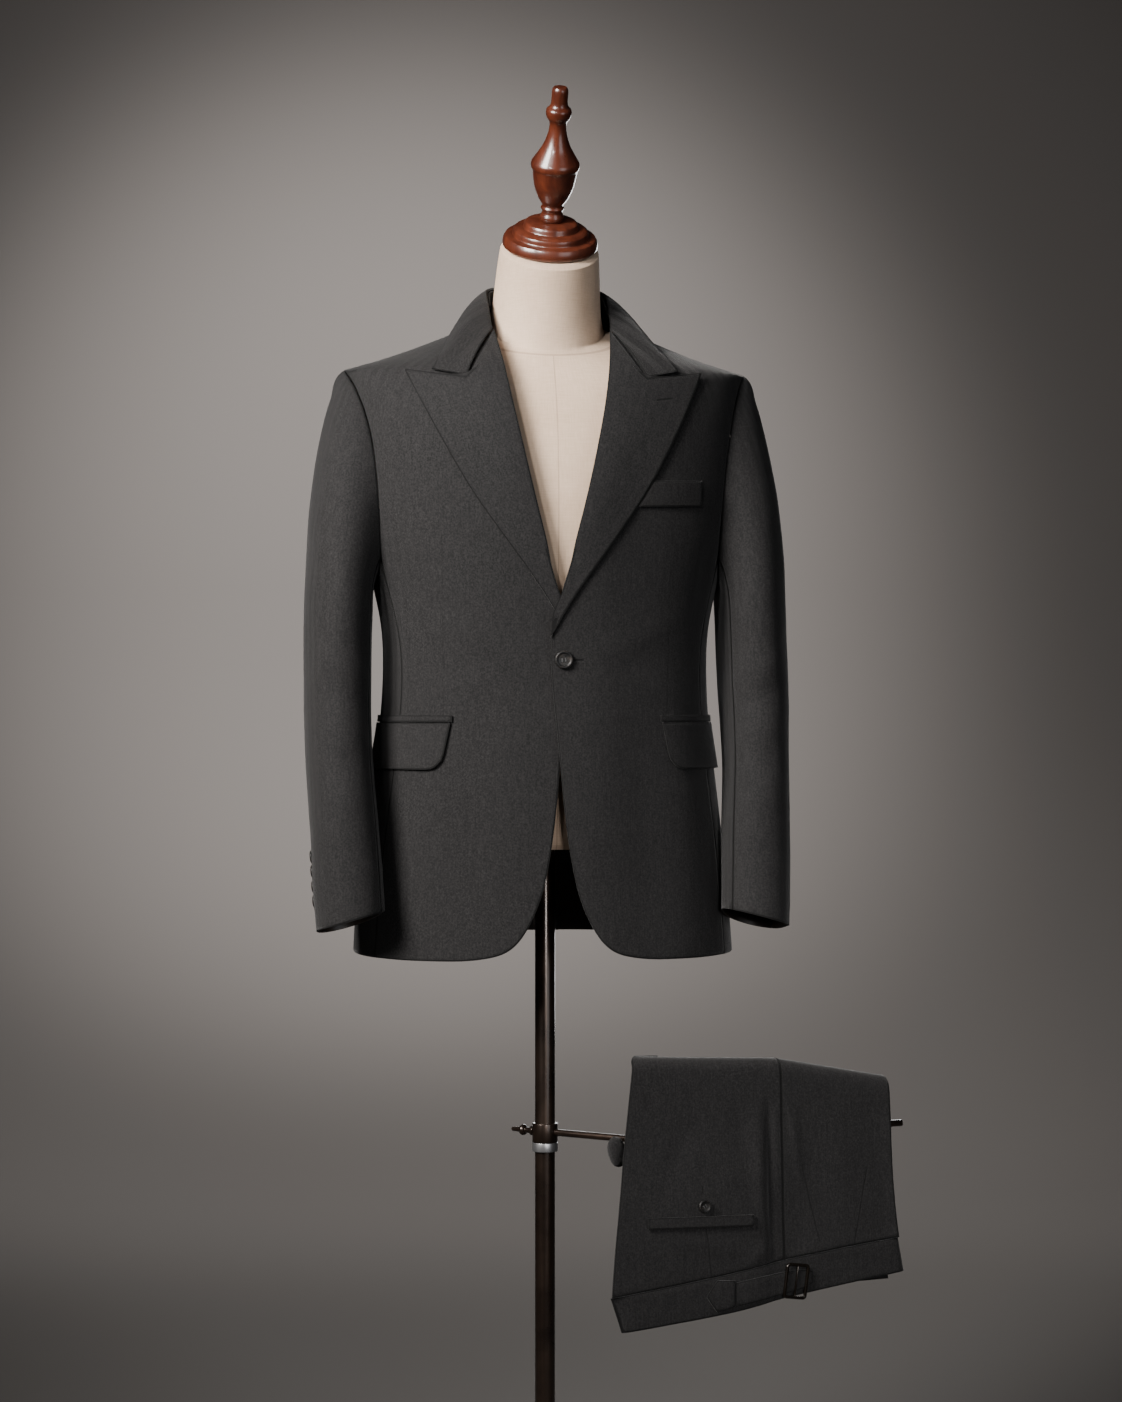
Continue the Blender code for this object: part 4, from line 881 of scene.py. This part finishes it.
def sew_body(node):
    obj = copy_solid(node, "jacket_" + node)
    smoothed(obj, 3 if node.startswith("front") else 2)
    folded(obj, away_from_body, BODY_FOLDS, BODY_UNEVEN)
    softened(obj)
    unwrap(obj, body_map)
    line_inside(obj, away_from_body, BODY_WOOL.get(node, suiting))
    finish_piece(obj, node)
    return obj


panels = ("front_left", "front_right", "side_left", "side_right", "back_left", "back_right")
body_pieces = {node: sew_body(node) for node in panels}
print("body panels:", {k: len(v.data.polygons) for k, v in body_pieces.items()})


# %% [markdown]
# A sleeve hangs straight to the elbow and then bends forwards, so its folds gather at the front of
# the elbow and just above the cuff, and a long crease runs down the back.

# %% Sew the sleeves
SLEEVE_FOLDS = [
    ((240, -75, 1080), (268, -50, 1100), 12, -1.8),
    ((212, -68, 1050), (262, -78, 1075), 13, 2.2),
    ((214, -74, 1020), (258, -86, 1040), 12, -2.2),
    ((216, -84, 985), (262, -92, 1000), 13, 2.4),
    ((214, -92, 955), (255, -102, 962), 12, -1.8),
    ((214, -104, 905), (262, -106, 925), 15, 1.6),
    ((262, -20, 1180), (272, -30, 1020), 18, 1.8),
    ((252, -60, 1210), (262, -62, 1080), 16, -2.0),
    ((268, 10, 1000), (266, -30, 860), 14, -1.6),
    ((250, 60, 1190), (246, 62, 1060), 20, 1.8),
    ((215, -118, 850), (258, -120, 862), 12, -1.2),
    ((262, -80, 900), (266, -96, 800), 14, 1.4),
]


def sew_sleeve(node):
    obj = copy_solid(node, node)
    smoothed(obj, 3 if "top" in node else 2)
    side = 1 if node.endswith("left") else -1
    folds = [((side * a[0], *a[1:]), (side * b[0], *b[1:]), w, h) for a, b, w, h in SLEEVE_FOLDS]
    folded(obj, away_from_sleeve, folds, [(9.0, 1.5, 3 + side), (22.0, 0.5, 5 + side)])
    softened(obj)
    unwrap(obj, sleeve_map)
    line_inside(obj, away_from_sleeve)
    finish_piece(obj, node)
    return obj


panels = ("sleeve_top_left", "sleeve_top_right", "sleeve_under_left", "sleeve_under_right")
sleeves = {node: sew_sleeve(node) for node in panels}
print("sleeves:", {k: len(v.data.polygons) for k, v in sleeves.items()})


# %% [markdown]
# Lapels and collar are the smoothest part of a jacket: pressed, canvassed and rolled by hand. They
# get almost no unevenness, and their turned edges are a little rounder than a raw cut. The collar's
# lower edge is drawn a millimetre and a half towards the lapel, to close the seam between them.

# %% Roll the lapels and collar
GORGE_START = (0.083, 1.393)
GORGE_ALONG = np.array([-0.447, 0.894])
GORGE_LENGTH, GORGE_PULL, GORGE_REACH = 0.049, 0.0016, 0.009


def close_gorge(obj):
    points = read_points(obj)
    side = np.where(points[:, 0] > 0, 1.0, -1.0)
    off = np.stack([np.abs(points[:, 0]), points[:, 2]], axis=1) - GORGE_START
    share = np.clip(off @ GORGE_ALONG, 0, GORGE_LENGTH)
    gap = np.linalg.norm(off - share[:, None] * GORGE_ALONG, axis=1)
    pull = GORGE_PULL * np.exp(-((gap / GORGE_REACH) ** 2)) * (points[:, 1] < 0)
    points[:, 0] -= side * GORGE_ALONG[1] * pull
    points[:, 2] += GORGE_ALONG[0] * pull
    write_points(obj, points)


def sew_flat(node, rule, levels=2, finish=suiting):
    obj = copy_solid(node, node)
    smoothed(obj, levels)
    folded(obj, away_from_body, [], [(9.0, 0.25, 7)])
    if node == "collar":
        close_gorge(obj)
    softened(obj, 0.7 * MM)
    unwrap(obj, rule)
    obj.data.materials.append(finish)
    finish_piece(obj, node)
    return obj


flat_pieces = [
    sew_flat("facing_left", lapel_map, 3, suiting_lapel),
    sew_flat("facing_right", lapel_map, 3),
    sew_flat("collar", collar_map, 3),
    sew_flat("collar_stand", collar_map),
]
print("lapels and collar:", [len(piece.data.polygons) for piece in flat_pieces])


# %% [markdown]
# Pocket flaps, jets and the welt are small folded pieces that lie on the fronts, so they take the
# same folds as the cloth under them.

# %% Sew the pockets
def sew_pocket(node):
    obj = copy_solid(node, node)
    smoothed(obj, 2)
    folded(obj, away_from_body, BODY_FOLDS, BODY_UNEVEN)
    softened(obj, 0.45 * MM)
    unwrap(obj, body_map)
    obj.data.materials.append(suiting)
    finish_piece(obj, node)
    return obj


panels = ("pocket_flap_left", "pocket_flap_right", "pocket_jet_left", "pocket_jet_right", "breast_welt")
pockets = {node: sew_pocket(node) for node in panels}
print("pockets:", {k: len(v.data.polygons) for k, v in pockets.items()})


# %% [markdown]
# The trousers hang folded at the knee, so their front and back panels run up to the fold and over it.
# The seat falls in a soft roll beside the side seam, where the fuller back half drops forward.

# %% Fold the trousers
def arm_point(u, n, z):
    flat = ARM_BEND / MM + ARM_ALONG * u + ARM_FRONT * n
    return (float(flat[0]), float(flat[1]), z)


def arm_fold(a, b, width, height):
    return (arm_point(*a), arm_point(*b), width, height)


TROUSER_FOLDS = [
    arm_fold((139, 24, 575), (142, 28, 402), 9, 2.4),
    arm_fold((154, 18, 585), (155, 24, 392), 5, -2.2),
    arm_fold((163, 18, 560), (163, 26, 400), 4, 1.0),
    arm_fold((30, 24, 420), (120, 26, 400), 12, 1.6),
    arm_fold((10, 24, 470), (60, 26, 560), 16, -1.4),
    arm_fold((110, 22, 580), (122, 26, 470), 12, -1.2),
    arm_fold((182, 20, 560), (196, 26, 470), 7, 2.0),
    arm_fold((176, 20, 548), (186, 26, 520), 4, -2.2),
    arm_fold((240, 20, 560), (250, 26, 410), 22, 1.8),
    arm_fold((300, 20, 540), (310, 26, 420), 18, -1.6),
    arm_fold((120, 26, 385), (150, 26, 404), 8, 2.4),
    arm_fold((200, 24, 400), (230, 26, 395), 8, 1.4),
]


def along_arm_front(points):
    flat = points[:, :2] - ARM_BEND
    facing = np.where(flat @ ARM_FRONT > 0.001, 1.0, -1.0)
    return np.column_stack([facing[:, None] * ARM_FRONT, np.zeros(len(points))])


TROUSER_WOOL = {"trouser_back": suiting_seat, "trouser_front": suiting_pleats}
FOLDS_END, FOLDS_FADE = 0.578, 0.03


def fold_trousers(node, levels=2, crease=50, waver=0.9):
    obj = copy_solid(node, node)
    smoothed(obj, levels, crease)
    before = read_points(obj)
    folded(obj, along_arm_front, TROUSER_FOLDS, [(12.0, waver, 11), (30.0, 0.4 * waver, 12)])
    after = read_points(obj)
    fade = np.clip((FOLDS_END - before[:, 2]) / FOLDS_FADE, 0, 1)[:, None]
    write_points(obj, before + (after - before) * fade)
    softened(obj)
    unwrap(obj, trouser_map)
    obj.data.materials.append(TROUSER_WOOL.get(node, suiting))
    finish_piece(obj, node)
    return obj


trousers = {
    "trouser_back": fold_trousers("trouser_back", 3),
    "trouser_front": fold_trousers("trouser_front", 3),
    "trouser_waistband": fold_trousers("trouser_waistband", crease=80),
}
for node in ("adjuster_tab", "adjuster_strap", "trouser_jet"):
    trousers[node] = fold_trousers(node)
trousers["trouser_legs"] = fold_trousers("trouser_legs", waver=0.2)
print("trousers:", {k: len(v.data.polygons) for k, v in trousers.items()})


# %% [markdown]
# The far leg's cloth shows as a small dark loop at the left edge, where it bellies out past the near
# leg below the arm. It starts as a block, which subdivision rounds into a soft lobe.

# %% Hang the far leg's loop
LOOP_PLACE, LOOP_SIZE, LOOP_TILT = (-29, -6, 518), (0.026, 0.02, 0.042, 1), math.radians(-14)
FAR_FROM_EDGES = 0.02


def leg_loop():
    deselect()
    bpy.ops.mesh.primitive_cube_add(size=1)
    obj = bpy.context.object
    obj.name = "trouser_leg_loop"
    turn = Matrix.Rotation(math.atan2(ARM_ALONG[1], ARM_ALONG[0]), 4, "Z")
    shape = turn @ Matrix.Rotation(LOOP_TILT, 4, "Y") @ Matrix.Diagonal(LOOP_SIZE)
    obj.data.transform(Matrix.Translation(Vector(arm_point(*LOOP_PLACE)) * MM) @ shape)
    apply_modifier(obj, "SUBSURF", levels=3, render_levels=3)
    folded(obj, along_arm_front, [], [(60.0, 1.5, 21)])
    activate(obj)
    bpy.ops.object.shade_smooth()
    write_rim(obj, np.full(len(obj.data.vertices), FAR_FROM_EDGES))
    obj.data.uv_layers.new(name="cloth")
    obj.data.materials.append(suiting)
    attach(obj, "root")
    return obj


loop = leg_loop()
print("leg loop:", len(loop.data.polygons), "faces")


# %% [markdown]
# The form is one padded shell under linen. Its solid is already a smooth torso, so it is copied and
# subdivided like the panels.

# %% Cover the form
form = copy_solid("form", "linen_form")
smoothed(form, 3, 40)
softened(form, 1.0 * MM)
form.data.materials.append(linen)
finish_piece(form, "form")
print("form:", len(form.data.polygons), "faces")


# %% [markdown]
# Turned parts are made as on a lathe. A single point is extruded along the profile, and the line is
# spun round the axis. The piece is modelled upright at the origin and then carried to its place, so
# that the same few steps serve the finial, the pole, the base and the clamp.

# %% Turn a profile
def rounded_profile(profile, steps):
    points = [Vector((r, z)) for r, z in profile]
    ends = [2 * points[0] - points[1], *points, 2 * points[-1] - points[-2]]
    made = []
    for i in range(1, len(ends) - 2):
        p0, p1, p2, p3 = ends[i - 1 : i + 3]
        for k in range(steps):
            t = k / steps
            made.append(0.5 * (2 * p1 + (p2 - p0) * t + (2 * p0 - 5 * p1 + 4 * p2 - p3) * t * t
                               + (3 * p1 - p0 - 3 * p2 + p3) * t**3))
    return [(max(p.x, 0.05), p.y) for p in (*made, points[-1])]


def lathe(name, profile, steps=48):
    bpy.ops.mesh.primitive_plane_add(size=0.001)
    obj = bpy.context.object
    obj.name = name
    bpy.ops.object.mode_set(mode="EDIT")
    bpy.ops.mesh.select_mode(type="VERT")
    bpy.ops.mesh.select_all(action="SELECT")
    bpy.ops.mesh.merge(type="CENTER")
    here = Vector((0, 0, 0))
    for r, z in [(0, profile[0][1]), *profile, (0, profile[-1][1])]:
        there = Vector((r, 0, z)) * MM
        if (r, z) == (0, profile[0][1]):
            bpy.ops.transform.translate(value=there - here)
        else:
            bpy.ops.mesh.extrude_vertices_move(TRANSFORM_OT_translate={"value": there - here})
        here = there
    bpy.ops.mesh.select_all(action="SELECT")
    bpy.ops.mesh.spin(steps=steps, angle=2 * math.pi, center=(0, 0, 0), axis=(0, 0, 1))
    bpy.ops.mesh.select_all(action="SELECT")
    bpy.ops.mesh.remove_doubles(threshold=MERGE_GAP)
    bpy.ops.mesh.normals_make_consistent(inside=False)
    bpy.ops.object.mode_set(mode="OBJECT")
    return obj


def carry(obj, place, axis):
    turn = Vector(axis).normalized().to_track_quat("Z", "Y").to_matrix().to_4x4()
    obj.data.transform(Matrix.Translation(Vector(place)) @ turn)
    obj.data.update()


def dress(obj, finish, node, width=0.4 * MM):
    softened(obj, width, 30, 3)
    obj.data.materials.append(finish)
    finish_piece(obj, node)


print("lathe ready")


# %% [markdown]
# The neck cap is three stepped discs, each with a rounded edge. The finial above it is an urn on a
# stem, with a ball and a small flared top, all on the neck's own leaning axis.

# %% Turn the cap and finial
CAP_PROFILE = [(50, 0.4), (53.0, 1.2), (54.2, 3.4), (54.3, 6.4), (53.4, 10.6), (51.6, 13.8),
               (48.6, 14.9), (44.0, 15.0), (43.3, 16.4), (43.4, 18.4), (42.2, 21.4), (39.6, 23.3),
               (36.4, 24.0), (32.0, 24.1), (31.2, 25.4), (31.0, 28.0), (29.4, 30.6), (26.4, 32.0),
               (15, 32.3)]
FINIAL_PROFILE = [(12.5, 0.3), (13.8, 5), (11.4, 12), (13.4, 17), (12.0, 21), (17, 30), (22.5, 46),
                  (25.4, 65), (27.3, 70), (27.2, 76), (23.5, 83), (15.5, 98), (10.6, 114), (9.6, 127),
                  (13.6, 135), (14.2, 144), (9.6, 151), (9.2, 168), (7.4, 173)]
FINIAL_FOOT, FINIAL_SQUASH = 32.6, 0.9
cap = lathe("neck_cap_turned", CAP_PROFILE, 72)
carry(cap, NECK_TOP, NECK_AXIS)
dress(cap, wood, "neck_cap", 0.3 * MM)
finial_line = rounded_profile([(r, FINIAL_FOOT + FINIAL_SQUASH * z) for r, z in FINIAL_PROFILE], 4)
finial = lathe("finial_turned", finial_line, 56)
carry(finial, NECK_TOP, NECK_AXIS)
dress(finial, wood, "finial", 0.3 * MM)
print("wood turned:", len(cap.data.polygons) + len(finial.data.polygons), "faces")


# %% [markdown]
# The pole and the base are steel. The base is a low disc, turned down at its rim so that nobody
# trips on it. It lies outside the photograph, so its shape is the usual one for such a stand.

# %% Turn the pole and base
POLE_PROFILE = [(11.5, 18.3), (11.5, 857.7)]
BASE_PROFILE = [(174.0, 0.0), (175.0, 1.0), (175.0, 9.0), (172.5, 12.5), (166.0, 14.5), (40.0, 17.2),
                (17.0, 18.0)]
dress(lathe("pole_tube", POLE_PROFILE, 48), bronzed, "pole")
dress(lathe("base_disc", BASE_PROFILE, 96), bronzed, "base")
print("pole and base turned")


# %% [markdown]
# The clamp grips the pole with a collar and a ring under it, both bored through. A thumbscrew with a
# grooved head stands out of the collar, on the side away from the arm.

# %% Turn the clamp
SCREW_PROFILE = [(5.5, 0), (5.5, 4), (3.4, 4.6), (3.2, 12), (5.6, 13), (6.4, 15.5), (5.6, 18),
                 (3.0, 19), (2.6, 30), (2.0, 31)]
SCREW_HEIGHT, SCREW_START = 0.53, 0.0149
BORE_RADIUS, BORE_EXTRA = 11.9, 5


def ring(name, outer, low, high, finish, node):
    tube = lathe(name, [(outer, low), (outer, high)], 48)
    bore = lathe(name + "_bore", [(BORE_RADIUS, low - BORE_EXTRA), (BORE_RADIUS, high + BORE_EXTRA)], 48)
    apply_modifier(tube, "BOOLEAN", operation="DIFFERENCE", object=bore, solver="EXACT")
    bpy.data.objects.remove(bore)
    dress(tube, finish, node, 0.8 * MM)


ring("clamp_collar_turned", 14.6, 518, 540, bronzed, "clamp_collar")
ring("clamp_ring_turned", 14.8, 507.7, 517.7, nickel, "clamp_ring")
toward_arm = Vector((*ARM_BEND, 0)).normalized()
screw = lathe("thumbscrew", SCREW_PROFILE, 32)
carry(screw, Vector((0, 0, SCREW_HEIGHT)) - toward_arm * SCREW_START, -toward_arm)
dress(screw, bronzed, "clamp_screw", 0.35 * MM)
print("clamp turned")


# %% [markdown]
# The arm and the hoop that it carries are one thickness of round rod, bent at the corners. Their
# solids have ten flat sides, and two subdivisions make them round.

# %% Round the rods
for node in ("arm", "hoop"):
    rod = copy_solid(node, node + "_rounded")
    smoothed(rod, 2, 60)
    softened(rod, 0.5 * MM, 50, 3)
    rod.data.materials.append(bronzed)
    finish_piece(rod, node)
print("rods rounded")


# %% [markdown]
# The buckle is a cast frame, a rounded rectangle, with one bar up its middle. The strap runs under
# the frame and over the bar, which is what grips it.

# %% Cast the buckle
BUCKLE_WIDE, BUCKLE_TALL, BUCKLE_CORNER = 31 * MM, 41 * MM, 5 * MM
BUCKLE_RIM, BUCKLE_THICK = 3.7 * MM, 2.8 * MM
BAR_RADIUS, BAR_LENGTH = 1.1 * MM, 35 * MM


def buckle_frame():
    deselect()
    bpy.ops.mesh.primitive_plane_add(size=1)
    obj = bpy.context.object
    obj.data.transform(Matrix.Diagonal((BUCKLE_WIDE, BUCKLE_TALL, 1, 1)))
    bpy.ops.object.mode_set(mode="EDIT")
    bpy.ops.mesh.select_mode(type="VERT")
    bpy.ops.mesh.select_all(action="SELECT")
    bpy.ops.mesh.bevel(offset=BUCKLE_CORNER, segments=5, affect="VERTICES")
    bpy.ops.mesh.select_mode(type="FACE")
    bpy.ops.mesh.select_all(action="SELECT")
    bpy.ops.mesh.inset(thickness=BUCKLE_RIM)
    bpy.ops.mesh.delete(type="FACE")
    bpy.ops.object.mode_set(mode="OBJECT")
    apply_modifier(obj, "SOLIDIFY", thickness=BUCKLE_THICK, offset=0.0)
    return obj


def bring_to_strap(obj):
    points = np.array([v.co for v in nodes["buckle"].data.vertices])
    middle = (points.min(0) + points.max(0)) / 2
    tall, wide, _ = np.linalg.svd(points - points.mean(0))[2]
    tall, wide = Vector(tall), Vector(wide)
    turn = Matrix((wide, tall, wide.cross(tall))).transposed().to_4x4()
    obj.data.transform(Matrix.Translation(Vector(middle)) @ turn)


def buckle_bar():
    bpy.ops.mesh.primitive_cylinder_add(vertices=20, radius=BAR_RADIUS, depth=BAR_LENGTH,
                                        rotation=(math.pi / 2, 0, 0))
    bpy.ops.object.transform_apply(location=True, rotation=True, scale=True)
    return bpy.context.object


buckle = joined("buckle_cast", [buckle_frame(), buckle_bar()])
bring_to_strap(buckle)
softened(buckle, 0.9 * MM, 40, 3)
buckle.data.materials.append(gunmetal)
finish_piece(buckle, "buckle")
print("buckle cast:", len(buckle.data.polygons), "faces")


# %% [markdown]
# A sewn button is a small dish with a raised rim and four holes. Its profile is given at a radius of
# one, and each button is turned from it at its own size, drilled and carried to its place. Two bars of
# thread lie across the holes, and a wrapped neck of thread holds the button off the cloth.

# %% Make the buttons
BUTTON_PROFILE = [(0.78, 0.02), (0.93, 0.14), (1.0, 0.34), (1.0, 0.62), (0.95, 0.88), (0.86, 1.0),
                  (0.76, 0.94), (0.68, 0.72), (0.6, 0.66)]
HOLE_OFF, HOLE_RADIUS = 0.19, 0.09
STRAND_RADIUS, STRAND_LENGTH, STRAND_STEP = 0.036, 0.46, 0.055
STRAND_LEVEL, MIDDLE_STRAND_RISE = 0.69, 0.03
NECK_RADIUS, NECK_LENGTH, NECK_LEVEL = 0.2, 1.2, -0.45


def add_rod(vertices, radius, depth, place, turn=(0, 0, 0)):
    place = [c * MM for c in place]
    bpy.ops.mesh.primitive_cylinder_add(vertices=vertices, radius=radius * MM, depth=depth * MM,
                                        location=place, rotation=turn)
    return bpy.context.object


def blank_button(radius, thick):
    button = lathe("button_blank", [(r * radius, z * thick) for r, z in BUTTON_PROFILE], 36)
    off = HOLE_OFF * radius
    corners = ((off, off, 0), (off, -off, 0), (-off, off, 0), (-off, -off, 0))
    drills = [add_rod(16, HOLE_RADIUS * radius, thick * 4, corner) for corner in corners]
    for drill in drills:
        apply_modifier(button, "BOOLEAN", operation="DIFFERENCE", object=drill, solver="EXACT")
        bpy.data.objects.remove(drill)
    softened(button, 0.12 * MM, 40, 2)
    return button


def thread_bars(radius, thick):
    bars = []
    for side in (-1, 1):
        for strand in (-1, 0, 1):
            across = (side * HOLE_OFF + strand * STRAND_STEP) * radius
            level = (STRAND_LEVEL + MIDDLE_STRAND_RISE * (strand == 0)) * thick
            bars.append(add_rod(10, STRAND_RADIUS * radius, STRAND_LENGTH * radius, (across, 0, level),
                                (math.pi / 2, 0, 0)))
    bars.append(add_rod(16, NECK_RADIUS * radius, NECK_LENGTH, (0, 0, NECK_LEVEL)))
    return joined("button_thread", bars)


def button_axis(node):
    points = np.array([v.co for v in nodes[node].data.vertices])
    middle = points.mean(0)
    normal = np.linalg.svd(points - middle)[2][2]
    if node == "button_front":
        out = np.array([0, -1, 0])
    elif node == "trouser_button":
        out = np.array([*ARM_FRONT, 0])
    else:
        out = np.array([np.sign(middle[0]), 0, 0])
    normal = normal * np.sign(normal @ out)
    reach = (points - middle) @ normal
    return middle + normal * reach.min(), normal


def place_button(node, radius, thick, spin=0.0):
    foot, normal = button_axis(node)
    for piece, finish, slot in ((blank_button(radius, thick), horn, "black_horn"),
                                (thread_bars(radius, thick), thread, "charcoal_wool")):
        piece.data.transform(Matrix.Rotation(spin, 4, "Z"))
        carry(piece, foot, normal)
        piece.data.materials.append(finish)
        piece.name = node + ("_horn" if finish is horn else "_thread")
        shade_round(piece)
        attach(piece, "root")
        if finish is horn:
            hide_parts(node)


place_button("button_front", 10.3, 3.4, 0.1)
place_button("trouser_button", 7.7, 2.8, 0.5)
for word in ("left", "right"):
    for number in range(1, 5):
        place_button(f"cuff_button_{word}_{number}", 7.6, 2.8, 0.3 * number)
print("buttons made")
